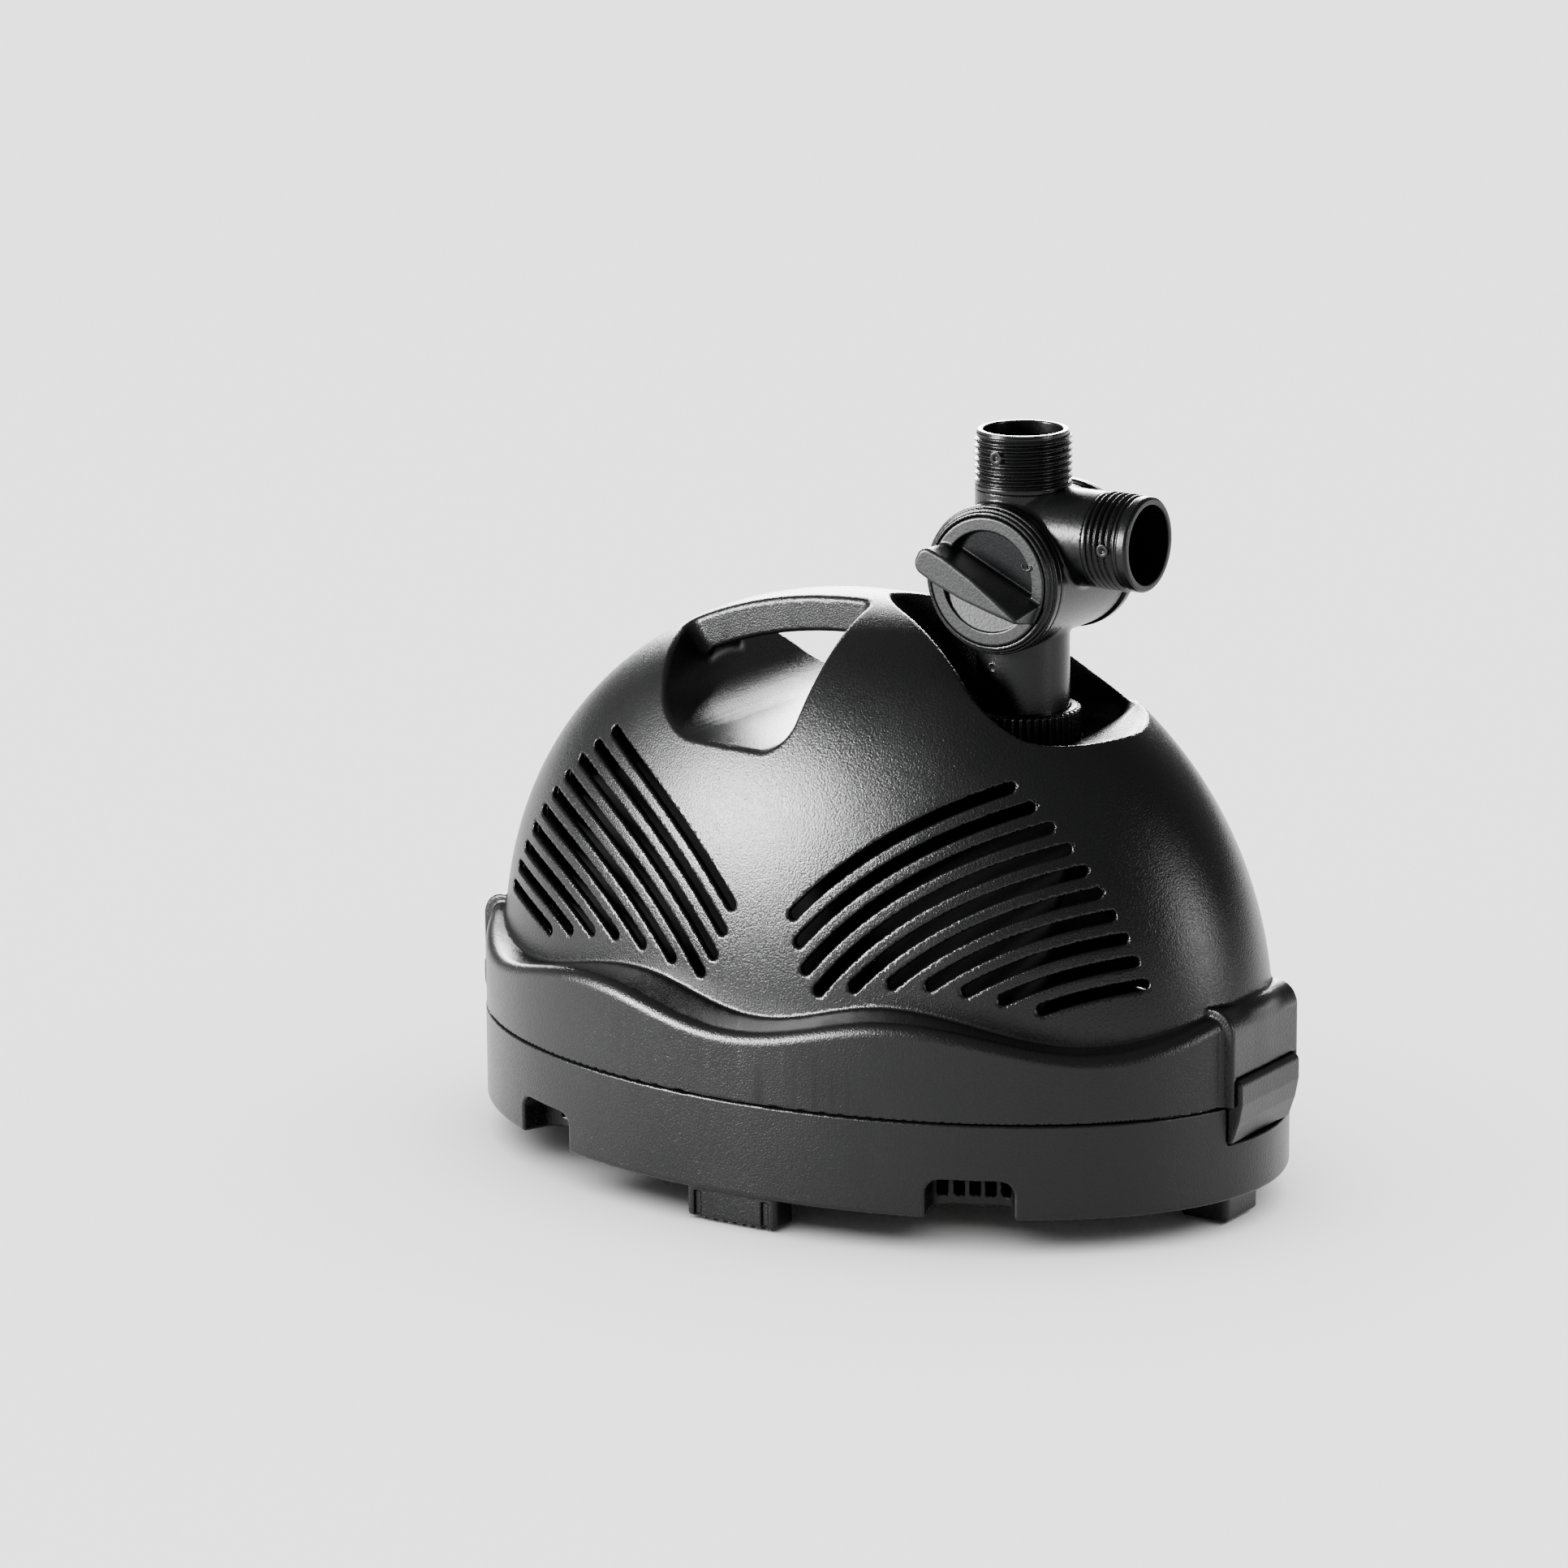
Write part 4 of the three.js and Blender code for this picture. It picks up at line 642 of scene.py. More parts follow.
def chamber_field(x, y, z):
    reach = np.hypot(y, z - AXIS_Z)
    body = both(reach - 36, slab(x, 33.6, 74))
    body = either(body, both(reach - 43.5, slab(x, 33.6, 37.6), 0.8), 3.0)
    body = either(body, both(reach - 43.5, slab(x, 70.6, 74), 0.8), 1.0)
    boss = np.hypot(np.abs(y) - BOSS, np.abs(z - AXIS_Z) - BOSS)
    body = either(body, both(boss - 4.5, slab(x, 35, 73)), 0.8)
    upright = np.hypot(x - VALVE_X, y)
    around = np.arctan2(y, x - VALVE_X)
    thread = pipe_thread(z, upright, around, OUTLET_ROOT, OUTLET_TOP) + 0.1
    pipe = both(np.where(z < OUTLET_ROOT, upright - 15, thread), slab(z, AXIS_Z, OUTLET_TOP), 0.5)
    body = either(body, pipe, 3.0)
    hollow = np.minimum(both(reach - 31, slab(x, 43, 80)), both(reach - 9, x - 60))
    body = without(body, hollow, 0.4)
    body = without(body, both(upright - 12.7, AXIS_Z - z), 0.5)
    body = without(body, boss - 2.3, 0.2)
    return without(body, both(np.abs(reach - 32.9) - 1.0, 72.8 - x))


chamber = moulded("pump_chamber_body", chamber_field, (32, -45, 21), (76, 45, 163), 0.8, 150000)
finish_piece(chamber, "base", inner_black, "inner_black", "pump_chamber")


def cover_field(x, y, z):
    dz = z - AXIS_Z
    reach, around = np.hypot(y, dz), np.arctan2(dz, y)
    face = both(reach - 43.5, slab(x, COVER_FACE, 77.9), 0.8)
    face = either(face, both(reach - 16.6, slab(x, COVER_FACE, 92.3), 0.8), 2.5)
    face = without(face, reach - 13, 0.8)
    turn = around - math.pi / 2
    turn = turn - 2 * math.pi / 3 * np.round(turn / (2 * math.pi / 3))
    arm = both(np.abs(reach * np.sin(turn)) - 1.4, slab(reach, 0, 15), 0.3)
    hub = both(reach - 5, slab(x, COVER_FACE, 81.3), 0.8)
    spider = either(both(arm, slab(x, COVER_FACE, 77.3), 0.5), hub, 0.8)
    cover = without(np.minimum(face, spider), both(reach - 2.3, x - 79.3), 0.3)
    boss = np.hypot(np.abs(y) - BOSS, np.abs(dz) - BOSS)
    return without(cover, boss - 2.3, 0.2)


cover = moulded("chamber_cover_plate", cover_field, (73, -45, 21), (94, 45, 111), 0.7, 90000)
finish_piece(cover, "base", inner_black, "inner_black", "chamber_cover")
refinish(rubber_black, "chamber_seal", "nut_gasket")

# ---- Screws and rubber mounts ----
# Eight bright steel pan-head screws with cross recesses hold the cover to the motor and the motor
# to its posts, each motor screw through a soft rubber bush.


def screw_field(length):
    def field(x, y, z):
        reach = np.hypot(x, y)
        head = both(reach - 3.6, slab(z, 0.3, 2.7), 0.9)
        cross = both(np.minimum(np.abs(x), np.abs(y)) - 0.45, reach - 2.0, 0.1)
        head = without(head, both(cross, 1.5 - z), 0.2)
        groove = 0.25 * np.cos(2 * np.pi * (z - np.arctan2(y, x) / (2 * np.pi)))
        round_shank = (reach - 1.2 - np.where(z < -1.5, groove, 0)) * 0.7
        shank = both(round_shank, slab(z, -length, 0.6), 0.3)
        return either(head, shank, 0.2)

    return field


def bush_field(x, y, z):
    reach = np.hypot(x, y)
    ring = both(both(reach - 5.2, 1.9 - reach, 0.3), slab(z, -3.7, -0.3), 0.7)
    return without(ring, np.hypot(reach - 5.6, z + 2) - 0.9, 0.3)


def small_part(name, field, low, high, step):
    points, faces = skin(field, low, high, step)
    thing = bpy.data.objects.new(name, shape_mesh(name, settle(field, points, 0.4 * step), faces))
    thing.data.shade_smooth()
    return thing


copy_tree, copy_keys, copy_in, copy_out = node_tree_with(
    "copies_at_spots",
    ("Part", "Object", None),
    ("Lean", "Vector", None),
    ("Spin", "Float", 3.0),
    ("Seed", "Int", 4),
    ("Finish", "Material", None),
)
nodes, link = copy_tree.nodes, copy_tree.links
part = nodes.new("GeometryNodeObjectInfo")
link.new(copy_in.outputs["Part"], part.inputs["Object"])
chance = nodes.new("FunctionNodeRandomValue")
link.new(copy_in.outputs["Spin"], chance.inputs[3])
link.new(copy_in.outputs["Seed"], chance.inputs["Seed"])
about = nodes.new("ShaderNodeCombineXYZ")
link.new(chance.outputs[1], about.inputs["Z"])
turned_part = nodes.new("FunctionNodeEulerToRotation")
link.new(about.outputs["Vector"], turned_part.inputs["Euler"])
leaned = nodes.new("FunctionNodeEulerToRotation")
link.new(copy_in.outputs["Lean"], leaned.inputs["Euler"])
facing = nodes.new("FunctionNodeRotateRotation")
link.new(leaned.outputs["Rotation"], facing.inputs["Rotation"])
facing.rotation_space = "LOCAL"
link.new(turned_part.outputs["Rotation"], facing.inputs["Rotate By"])
copies = nodes.new("GeometryNodeInstanceOnPoints")
link.new(copy_in.outputs["Geometry"], copies.inputs["Points"])
link.new(part.outputs["Geometry"], copies.inputs["Instance"])
link.new(facing.outputs["Rotation"], copies.inputs["Rotation"])
real = nodes.new("GeometryNodeRealizeInstances")
link.new(copies.outputs["Instances"], real.inputs["Geometry"])
painted = nodes.new("GeometryNodeSetMaterial")
link.new(real.outputs["Geometry"], painted.inputs["Geometry"])
link.new(copy_in.outputs["Finish"], painted.inputs["Material"])
link.new(painted.outputs["Geometry"], copy_out.inputs["Geometry"])


def copies_at(name, spots, part, lean, material, slot_name, *stands_for):
    start = bpy.data.meshes.new(name + "_spots")
    start.from_pydata([tuple(v * MM for v in spot) for spot in spots], [], [])
    values = {"Part": part, "Lean": lean, "Spin": 3.0, "Seed": 4, "Finish": material}
    thing = grown(name, start, copy_tree, copy_keys, values)
    finish_piece(thing, "base", material, slot_name, *stands_for)


long_screw = small_part("long_screw", screw_field(57.8), (-4, -4, -59), (4, 4, 3.4), 0.3)
short_screw = small_part("short_screw", screw_field(22), (-4, -4, -23), (4, 4, 3.4), 0.3)
bush = small_part("mount_bush", bush_field, (-6, -6, -4.5), (6, 6, 0.5), 0.35)
corners = ((1, 1), (-1, 1), (-1, -1), (1, -1))
around = [(77.8, a * BOSS, AXIS_Z + b * BOSS) for a, b in corners]
lugs = [(a, b, 62) for a in (REAR_POST_X, FRONT_POST_X) for b in (-POST_Y, POST_Y)]
heads = [(a, b, 67) for a, b, _ in lugs]
cover_screws = ["cover_screw_%d" % n for n in range(1, 5)]
motor_screws = ["motor_screw_%d" % n for n in range(1, 5)]
mounts = ["rubber_mount_%d" % n for n in range(1, 5)]
UPRIGHT, FORWARD = (0, 0, 0), (0, math.pi / 2, 0)
steel, rubber = (screw_steel, "screw_steel"), (rubber_black, "rubber_black")
copies_at("cover_screws", around, long_screw, FORWARD, *steel, *cover_screws)
copies_at("motor_screws", heads, short_screw, UPRIGHT, *steel, *motor_screws)
copies_at("rubber_mounts", lugs, bush, UPRIGHT, *rubber, *mounts)

# ---- Cooling cowl ----
# A plain black arch over the motor that draws the strained water past it. It stands on four legs
# and is open below and towards the intake.


COWL_EDGE, COWL_HALF, COWL_HIGH, COWL_WALL = 71, 53, 76, 2.5
COWL_END = 98


def cowl_arch(y, z, inset):
    half, high = COWL_HALF - inset, COWL_HIGH - inset
    rise = np.maximum(z - COWL_EDGE, 0) / high
    level = (np.abs(y / half) ** 2.2 + rise**2.2) ** (1 / 2.2) + 1e-5
    per_y = (np.abs(y / half) / level) ** 1.2 / half
    per_z = (rise / level) ** 1.2 / high
    return (level - 1) / np.maximum(np.hypot(per_y, per_z), 1 / 80)


def cowl_field(x, y, z):
    outside = both(cowl_arch(y, z, 0), slab(x, -COWL_END, COWL_END), 2.0)
    outside = both(outside, COWL_EDGE - z, 0.5)
    inside = both(cowl_arch(y, z, COWL_WALL), COWL_WALL - COWL_END - x, 1.0)
    cowl = without(outside, inside, 0.5)
    step = np.where(x > -26, x - 32, x + 84)
    leg = both(np.abs(step) - 8, np.abs(np.abs(y) - 51.75) - 1.25, 0.6)
    cowl = either(cowl, both(leg, slab(z, 15.8, 75), 0.5), 0.6)
    return without(cowl, both(np.hypot(x - VALVE_X, y) - 18.6, 120 - z), 0.5)


cowl_black = black_moulding("cowl_black", (0.001, 0.001, 0.0011), 0.75, 700, 0.00008, 0.2, 0.02)
cowl = moulded("cooling_cowl_arch", cowl_field, (-101, -56, 14), (101, 56, 150), 1.3, 90000)
finish_piece(cowl, "base", cowl_black, "inner_black", "cooling_cowl")

# ---- Upper shell ----
# One deep moulding in the same satin black: a dome with ten curved strainer slots in each quarter,
# a carrying handle left standing over a tunnel, a pocket for the valve, and a skirt round the foot
# whose top edge rises and falls.

DOME_X, DOME_Y = 149.1, 79.75
DOME_BASE, DOME_HEIGHT, DOME_POWER = 61.3, 140.2, 2.1
WAVE = ((0, 80.0), (36, 68.8), (66, 78.4), (90, 69.6))
POCKET_X, POCKET_R, POCKET_APEX = 70.0, 35.5, -5.0
POCKET_FLOOR = 158.5
HANDLE_FLOOR, HANDLE_LEFT = 156.8, -53
SLOT_COUNT, SLOT_PITCH, SLOT_WIDE = 10, 8.13, 3.9
SLOT_X, SLOT_Z, SLOT_FIRST = 140.0, -8.0, 171.2


def dome_field(x, y, z, inset=0.0):
    half_x, half_y, high = DOME_X - inset, DOME_Y - inset, DOME_HEIGHT - inset
    out = np.sqrt((x / half_x) ** 2 + (y / half_y) ** 2) + 1e-5
    rise = np.maximum(z - DOME_BASE, 0) / high
    level = (out**DOME_POWER + rise**DOME_POWER) ** (1 / DOME_POWER)
    per_out = (out / level) ** (DOME_POWER - 1)
    per_rise = (rise / level) ** (DOME_POWER - 1) / high
    flat = np.sqrt((x / half_x**2) ** 2 + (y / half_y**2) ** 2) / out
    return (level - 1) / np.maximum(np.hypot(per_out * flat, per_rise), 1 / 200)


def skirt_top(x, y):
    angle = np.degrees(np.arctan2(np.abs(y) / RIM_Y, np.abs(x) / RIM_X))
    height = np.full_like(angle, WAVE[0][1])
    for (a0, z0), (a1, z1) in zip(WAVE, WAVE[1:]):
        share = np.clip((angle - a0) / (a1 - a0), 0, 1)
        height = height + (z1 - z0) * (1 - np.cos(np.pi * share)) / 2
    return height


def handle_tunnel(x, z):
    right_side = (x - 0.127 * (z - 168)) * 0.992
    left_side = (HANDLE_LEFT - 0.67 * (z - HANDLE_FLOOR) - x) * 0.831
    return both(np.maximum(right_side, left_side), HANDLE_FLOOR - z, 10.0)


def valve_pocket(x, y, z):
    wide = -POCKET_R / (POCKET_X - POCKET_APEX)
    tall = math.sqrt(1 - wide * wide)
    side, ahead = np.abs(y), x - POCKET_APEX
    reach = -wide * side + tall * ahead
    plan = np.where(
        reach < 0,
        np.hypot(side, ahead),
        np.where(
            reach > tall * (POCKET_X - POCKET_APEX),
            np.hypot(side, x - POCKET_X) - POCKET_R,
            tall * side + wide * ahead,
        ),
    )
    sweep = 0.3 * np.maximum(y, 0) * np.clip((x - 76) / 12, 0, 1)
    lip = POCKET_FLOOR + (x - 78.7) * 0.175 + sweep
    ramp = 200 - (x - 4)
    floor = np.maximum(np.maximum(POCKET_FLOOR, lip), ramp)
    return both(plan, (floor - z) * np.where(ramp > POCKET_FLOOR, 0.71, 1.0), 9.0)


def slot_ends():
    """Where each slot begins and ends round the common centre, in degrees."""
    ends = []
    for k in range(SLOT_COUNT):
        radius = SLOT_FIRST - SLOT_PITCH * k
        first = 110.3 - 1.84 * k + 0.0383 * k * k
        last = first
        while True:
            x = SLOT_X + radius * math.cos(math.radians(last))
            z = SLOT_Z + radius * math.sin(math.radians(last))
            edge = math.acos(min(1, x / DOME_X))
            rim_x, rim_y = RIM_X * math.cos(edge), RIM_Y * math.sin(edge)
            skirt = float(skirt_top(np.array([rim_x]), np.array([rim_y]))[0])
            if x <= 11.5 + 3.05 * k or z <= skirt + 8:
                break
            last += 0.25
        ends.append((first, last))
    return ends


SLOT_ENDS = np.array(slot_ends())


def strainer_slots(x, y, z):
    dx, dz = np.abs(x) - SLOT_X, z - SLOT_Z
    reach, angle = np.hypot(dx, dz), np.degrees(np.arctan2(dz, dx))
    k = np.clip(np.round((SLOT_FIRST - reach) / SLOT_PITCH), 0, SLOT_COUNT - 1).astype(int)
    radius = SLOT_FIRST - SLOT_PITCH * k
    pull = np.degrees(SLOT_WIDE / 2 / radius)
    held = np.radians(np.clip(angle, SLOT_ENDS[k, 0] + pull, SLOT_ENDS[k, 1] - pull))
    near = np.hypot(dx - radius * np.cos(held), dz - radius * np.sin(held)) - SLOT_WIDE / 2
    return both(near, 20 - np.abs(y))


def upper_field(x, y, z):
    dome = dome_field(x, y, z)
    side = oval_wall(x, y, RIM_X, RIM_Y)
    top = skirt_top(x, y)
    skirt = both(side + 0.25, z - top, 4.5)
    boss = both(both(np.abs(x) - RIM_X, z - 79.5, 8.0), np.abs(y) - END_BOSS_HALF, 1.0)
    outside = either(either(dome, skirt, 1.2), both(boss, 128 - np.abs(x)), 0.8)
    inner_skirt = both(side + WALL, z - top + WALL + 1, 3.0)
    inside = np.minimum(dome_field(x, y, z, WALL), inner_skirt)
    tunnel, pocket = handle_tunnel(x, z), valve_pocket(x, y, z)
    bar = both(np.abs(y) - 10, -12.5 - dome, 2.2)
    inside = without(without(inside, tunnel - WALL, 1.0), pocket - WALL, 1.0)
    shell = both(outside, either(-tunnel, bar, 5.0), 1.8)
    shell = without(shell, pocket, 1.3)
    shell = both(without(shell, inside, 0.4), UPPER_BOTTOM - z, 0.5)
    backing = both(np.abs(y) - END_BOSS_HALF, slab(np.abs(x), *END_BACKING))
    backing = both(backing, slab(z, UPPER_BOTTOM, 62), 0.3)
    shell = either(shell, backing, 0.5)
    shell = without(shell, np.hypot(x - VALVE_X, y) - 21.2, 0.5)
    shell = without(shell, strainer_slots(x, y, z), 0.75)
    return without(shell, latch_room(x, y, z), 0.7)


low, high = (-156, -104, 43), (156, 104, 205)
upper_shell = moulded("upper_shell_moulding", upper_field, low, high, 1.1, 198000)
finish_piece(upper_shell, "top_shell", shell_black, "shell_black", "upper_shell")

# ---- End latches ----
# A stiff black tongue at each end, moulded in one with a thin root, that is pressed over the
# joint between the shells. Its outer face swells towards a rounded nose.

LATCH_FACE = ((30, 149.4), (32.5, 150.6), (40, 153.2), (46.5, 154.5), (53, 154.5), (58, 154.3))


def latch_field(x, y, z):
    face = np.interp(z, [p[0] for p in LATCH_FACE], [p[1] for p in LATCH_FACE])
    plate = both(both(np.abs(x) - face, z - LATCH_HIGH, 2.4), np.abs(y) - LATCH_HALF, 0.8)
    return both(both(plate, LATCH_LOW - z, 0.5), 149 - np.abs(x), 0.4)


for end, body, node in ((1, "latch_r", "latch_right"), (-1, "latch_l", "latch_left")):
    near, far = sorted((147 * end, 157 * end))
    latch = moulded(node + "_tongue", latch_field, (near, -22, 30), (far, 22, 58), 0.5, 60000)
    finish_piece(latch, body, shell_black, "shell_black", node)

# ---- Valve body ----
# A smoother, glossier moulding: a drum across the pump with a threaded riser on top, a threaded
# outlet to the side and a plain spigot below. The threads are one-inch pipe threads, and round
# gate scars show where the plastic was let into the mould.

RISER_ROOT, SIDE_ROOT, VALVE_PIPE_R, VALVE_BORE = 244.4, 89.2, 16.3, 13.5
RISER_TOP, SIDE_END = 264.5, 106.3
DRUM_R, DRUM_FRONT, DRUM_BACK, BEZEL_R = 24.8, -18, 29.5, 25.6


def scar(x, y, z, spot, radius=2.3):
    """A flat round mark facing forwards, proud of the thread, with a dimple in the middle."""
    across = np.hypot(x - spot[0], z - spot[2])
    plug = both(across - radius, slab(y, spot[1], spot[1] + 4), 0.25)
    return without(plug, np.sqrt(across**2 + (y - spot[1] + 0.5) ** 2) - 1.1, 0.2)


def valve_field(x, y, z):
    dx, dz = x - VALVE_X, z - DRUM_Z
    drum_reach, upright = np.hypot(dx, dz), np.hypot(dx, y)
    level_reach = np.hypot(y, z - SIDE_Z)
    drum = both(drum_reach - DRUM_R, slab(y, DRUM_FRONT, DRUM_BACK), 0.8)
    riser = both(upright - VALVE_PIPE_R, slab(z, 216, RISER_ROOT), 0.3)
    side = both(level_reach - VALVE_PIPE_R, slab(x, VALVE_X, SIDE_ROOT), 0.3)
    spigot = both(upright - 15.9, slab(z, 164, 216))
    spigot = either(spigot, both(upright - 16.4, slab(z, 163.8, 166.3), 0.3), 0.2)
    spigot = np.minimum(spigot, scar(x, y, z, (54.7, -15.95, 184.5), 1.8))
    whole = either(either(drum, spigot, 1.6), either(riser, side, 2.2), 1.8)
    flange = both(drum_reach - BEZEL_R, slab(y, DRUM_FRONT, -15.4), 0.5)
    whole = either(whole, flange, 0.5)
    riser_bore = both(upright - VALVE_BORE, 160 - z)
    side_bore = both(level_reach - VALVE_BORE, VALVE_X - x)
    whole = without(whole, np.minimum(riser_bore, side_bore), 0.3)
    return without(whole, drum_reach - 19.3, 0.4)


def riser_end_field(x, y, z):
    reach = np.hypot(x - VALVE_X, y)
    thread = pipe_thread(z, reach, np.arctan2(y, x - VALVE_X), RISER_ROOT + 1.2, 263.4)
    end = both(thread, slab(z, RISER_ROOT, RISER_TOP), 0.4)
    end = np.minimum(end, scar(x, y, z, (56.6, -16.75, 256.75)))
    return without(end, reach - VALVE_BORE, 0.6)


def side_end_field(x, y, z):
    reach = np.hypot(y, z - SIDE_Z)
    thread = pipe_thread(x, reach, np.arctan2(z - SIDE_Z, y), SIDE_ROOT + 0.6, 101.6)
    end = both(thread, slab(x, SIDE_ROOT, SIDE_END), 0.3)
    end = either(end, both(reach - 16.2, slab(x, 102.2, SIDE_END), 1.1), 0.3)
    end = np.minimum(end, scar(x, y, z, (97.75, -16.75, SIDE_Z)))
    return without(end, reach - VALVE_BORE, 0.6)


valve_black = black_moulding("valve_black", DEEP_BLACK, 0.25, 900, 0.00005, 0.15, 0.16)
for name, field, low, high, step, most in (
    ("valve_body_moulding", valve_field, (31, -19, 162), (91, 31, 247), 0.55, 150000),
    ("valve_riser_thread", riser_end_field, (39, -18.6, 243), (76, 18.6, 266), 0.32, 180000),
    ("valve_side_thread", side_end_field, (88, -18.6, 211), (108, 18.6, 248), 0.32, 180000),
):
    part = moulded(name, field, low, high, step, most)
    finish_piece(part, "valve", valve_black, "valve_black", "valve_body")

# ---- Bezel and rear cap of the valve ----
# Two black rings pressed on the ends of the drum. The front one is ridged and leaves room for the
# dial, and the back one is closed.


def bezel_field(x, y, z):
    reach = np.hypot(x - VALVE_X, z - DRUM_Z)
    ring = both(reach - BEZEL_R, slab(y, -21.0, -18.3), 0.5)
    for radius, front in ((24.7, -22.4), (23.7, -23.5)):
        ring = either(ring, both(reach - radius, slab(y, front, -18.3), 0.55), 0.15)
    return without(ring, reach - 22.3, 0.4)


def cap_field(x, y, z):
    reach = np.hypot(x - VALVE_X, z - DRUM_Z)
    cap = both(reach - 25.8, slab(y, 29.8, 33.8), 1.0)
    cap = either(cap, both(reach - 15, slab(y, 24.8, 31), 0.5), 0.3)
    return without(cap, both(np.abs(reach - 20) - 0.7, 33.0 - y), 0.4)


bezel = moulded("valve_bezel_ring", bezel_field, (30, -25, 189), (85, -17, 243), 0.5, 90000)
finish_piece(bezel, "valve", valve_black, "valve_black", "valve_bezel")
rear_cap = moulded("valve_rear_cap_disc", cap_field, (30, 23, 188), (85, 35, 244), 0.6, 90000)
finish_piece(rear_cap, "valve", valve_black, "valve_black", "valve_rear_cap")

# ---- Dial and plug ----
# A satin black disc with a raised grip bar, broad and round at one end and pointed at the other,
# with a half-moon sunk on each side for the fingers. Its stem turns the plug behind it, a curved
# plastic plate that closes one outlet or the other.

GRIP_TURN = math.radians(-25.6)
PLUG_R = 19
DIAL_Y, GRIP_OUT = -24.0, 14.0


def dial_field(x, y, z):
    dx, dz = x - VALVE_X, z - DRUM_Z
    reach = np.hypot(dx, dz)
    along = dx * math.cos(GRIP_TURN) + dz * math.sin(GRIP_TURN)
    across = dz * math.cos(GRIP_TURN) - dx * math.sin(GRIP_TURN)
    disc = both(reach - 22.0, slab(y, DIAL_Y, -18.3), 0.7)
    sunk = DIAL_Y + 0.5 + 3.6 * (1 - np.abs(across) / 17.4)
    disc = without(disc, both(reach - 17.4, (y - sunk) * 0.97, 0.4), 0.35)
    out = np.clip((DIAL_Y - y) / GRIP_OUT, 0, 1)
    crest = np.interp(along, [-21, -12, 0, 11, 21.5], [4.7, 5.3, 4.5, 2.7, 0.6])
    half = 3.6 + (crest - 3.6) * out**1.3
    bar = both(both(np.abs(across) - half, -along - 21.6, 3.8), along - 21.4, 0.6) * 0.9
    bar = both(bar, slab(y, DIAL_Y - GRIP_OUT, -19), 1.3)
    mark = np.hypot(np.hypot(dx - 15.6, dz - 7.6) - 1.9, (y - DIAL_Y) * 0.8) - 0.42
    mark = both(mark, dz - 7.4)
    return np.minimum(either(disc, bar, 0.9), mark)


dial_black = black_moulding("dial_black", (0.002, 0.0021, 0.0023), 0.34, 1100, 0.00006, 0.2, 0.2)
dial = moulded("valve_dial", dial_field, (33, -39, 192), (82, -17, 240), 0.42, 150000)
finish_piece(dial, "knob", dial_black, "dial_black", "valve_knob")


def plug_field(x, y, z):
    dx, dz = x - VALVE_X, z - DRUM_Z
    reach = np.hypot(dx, dz)
    kept = both(dx * 0.1644 + dz * 0.9864, dz * 0.1644 - dx * 0.9864)
    wall = both(both(reach - PLUG_R, 16 - reach), both(kept, slab(y, -15.7, 29.2)), 0.3)
    plug = np.minimum(wall, both(reach - PLUG_R, slab(y, -17.7, -13.7), 0.3))
    return without(plug, both(reach - 5.3, y + 14.7), 0.2)


plug = moulded("valve_plug_gate", plug_field, (37, -19, 195), (78, 31, 237), 0.7, 60000)
finish_piece(plug, "knob", inner_black, "inner_black", "valve_plug")

# ---- Union nut ----
# A black nut with fine teeth for the fingers, caught on the spigot's collar and screwed down on
# the pump's outlet pipe in the bottom of the pocket.

NUT_LOW, NUT_HIGH, NUT_R, NUT_TEETH = 155.5, 168.5, 19.95, 45


def nut_field(x, y, z):
    dx = x - VALVE_X
    reach, around = np.hypot(dx, y), np.arctan2(y, dx)
    tooth = 0.75 * (0.5 - 0.5 * np.cos(NUT_TEETH * around)) ** 1.5
    nut = both((reach - NUT_R + tooth) * 0.9, slab(z, NUT_LOW, NUT_HIGH), 0.8)
    nut = either(nut, both(reach - 18.7, slab(z, NUT_LOW, NUT_HIGH + 0.4), 0.6), 0.2)
    hole = np.where(z < 166.6, 16.9, 16.2)
    return without(nut, reach - hole, 0.3)


union_nut = moulded("union_nut_ring", nut_field, (36, -22, 154), (79, 22, 170), 0.42, 120000)
finish_piece(union_nut, "nut", valve_black, "valve_black", "union_nut")

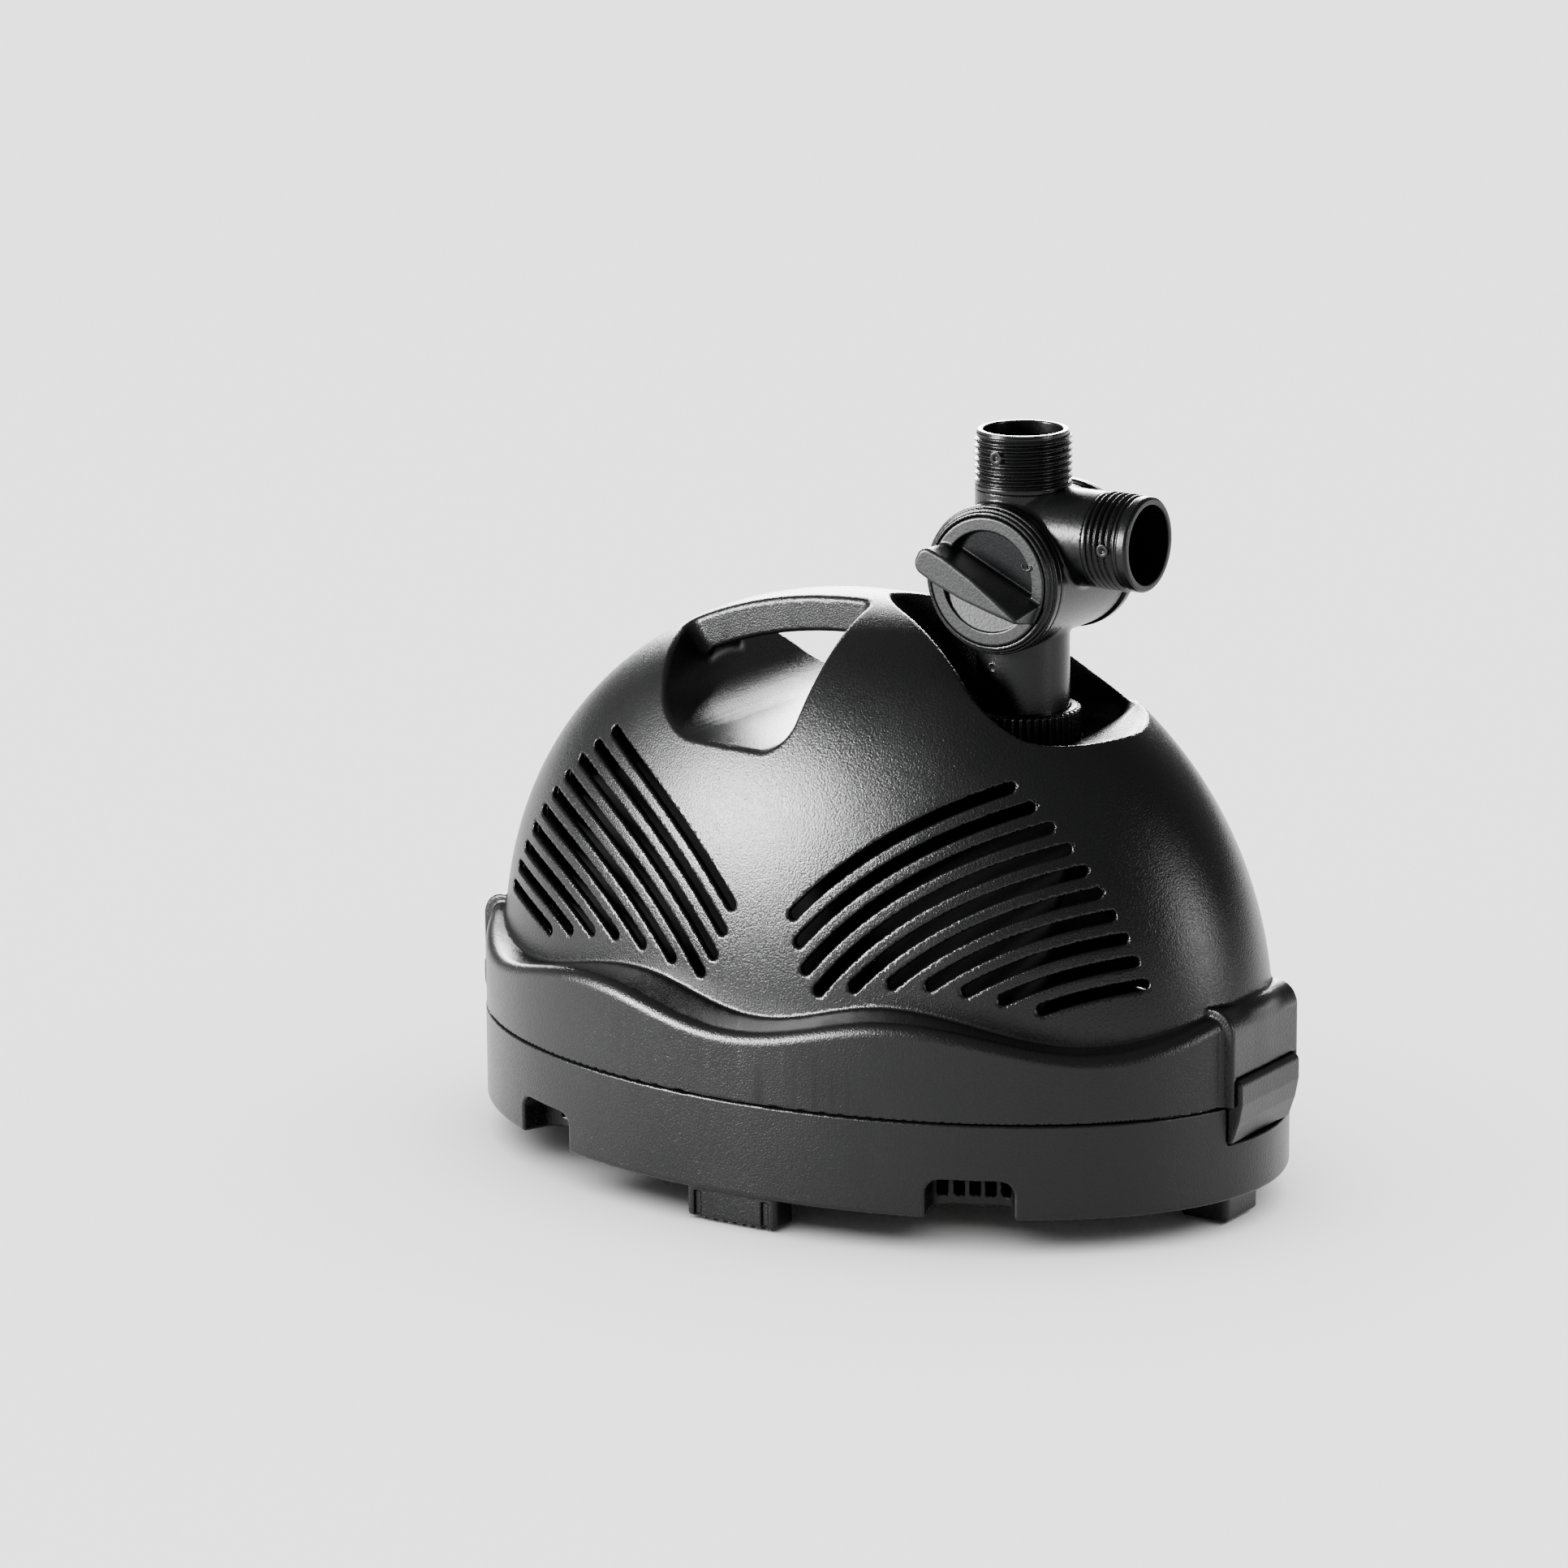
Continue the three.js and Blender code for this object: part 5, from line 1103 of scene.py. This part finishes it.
# ---- Floor, backdrop and light ----
# A plain white floor that runs out of sight. A soft key lamp stands low on the left, a long soft
# lamp behind and a weak strip at the valve end. The floor has an even light of its own from above.

stage_mesh = bpy.data.meshes.new("studio_floor")
reach = 30.0
stage_mesh.from_pydata(
    [(-reach, -reach, 0), (reach, -reach, 0), (reach, reach, 0), (-reach, reach, 0)],
    [],
    [(0, 1, 2, 3)],
)
studio_floor = bpy.data.objects.new("studio_floor", stage_mesh)
bpy.context.scene.collection.objects.link(studio_floor)
paper = bpy.data.materials.new("studio_paper")
paper.use_nodes = True
paper_shader = paper.node_tree.nodes["Principled BSDF"]
paper_shader.inputs["Base Color"].default_value = (0.9, 0.9, 0.9, 1)
paper_shader.inputs["Roughness"].default_value = 1.0
paper_shader.inputs["Specular IOR Level"].default_value = 0.0
stage_mesh.materials.append(paper)

world = bpy.data.worlds.new("studio")
bpy.context.scene.world = world
world.use_nodes = True
sky = world.node_tree.nodes["Background"]
sky.inputs["Color"].default_value = (1, 1, 1, 1)
sky.inputs["Strength"].default_value = 0.4

lit = {
    "EXCLUDE": bpy.data.collections.new("all_but_floor"),
    "INCLUDE": bpy.data.collections.new("floor_only"),
}
for state, group in lit.items():
    group.objects.link(studio_floor)
    group.collection_objects[0].light_linking.link_state = state


def lamp(name, spot, aim, size, power, floor):
    data = bpy.data.lights.new(name, "AREA")
    data.shape = "RECTANGLE"
    data.size, data.size_y = size
    data.energy = power
    made = bpy.data.objects.new(name, data)
    made.location = spot
    made.rotation_euler = (Vector(aim) - Vector(spot)).to_track_quat("-Z", "Y").to_euler()
    made.light_linking.receiver_collection = lit[floor]
    bpy.context.scene.collection.objects.link(made)


lamp("key_softbox", (-1.05, -1.3, 0.62), (0, 0, 0.12), (0.5, 0.5), 340, "EXCLUDE")
lamp("back_softbox", (-1.1, 1.75, 0.8), (0, 0, 0.15), (1.4, 0.7), 200, "EXCLUDE")
lamp("side_strip", (1.7, 0.1, 0.42), (0, 0, 0.16), (0.3, 0.6), 22, "EXCLUDE")
lamp("floor_light", (0, 0, 8.0), (0, 0, 0), (24, 24), 6400, "INCLUDE")
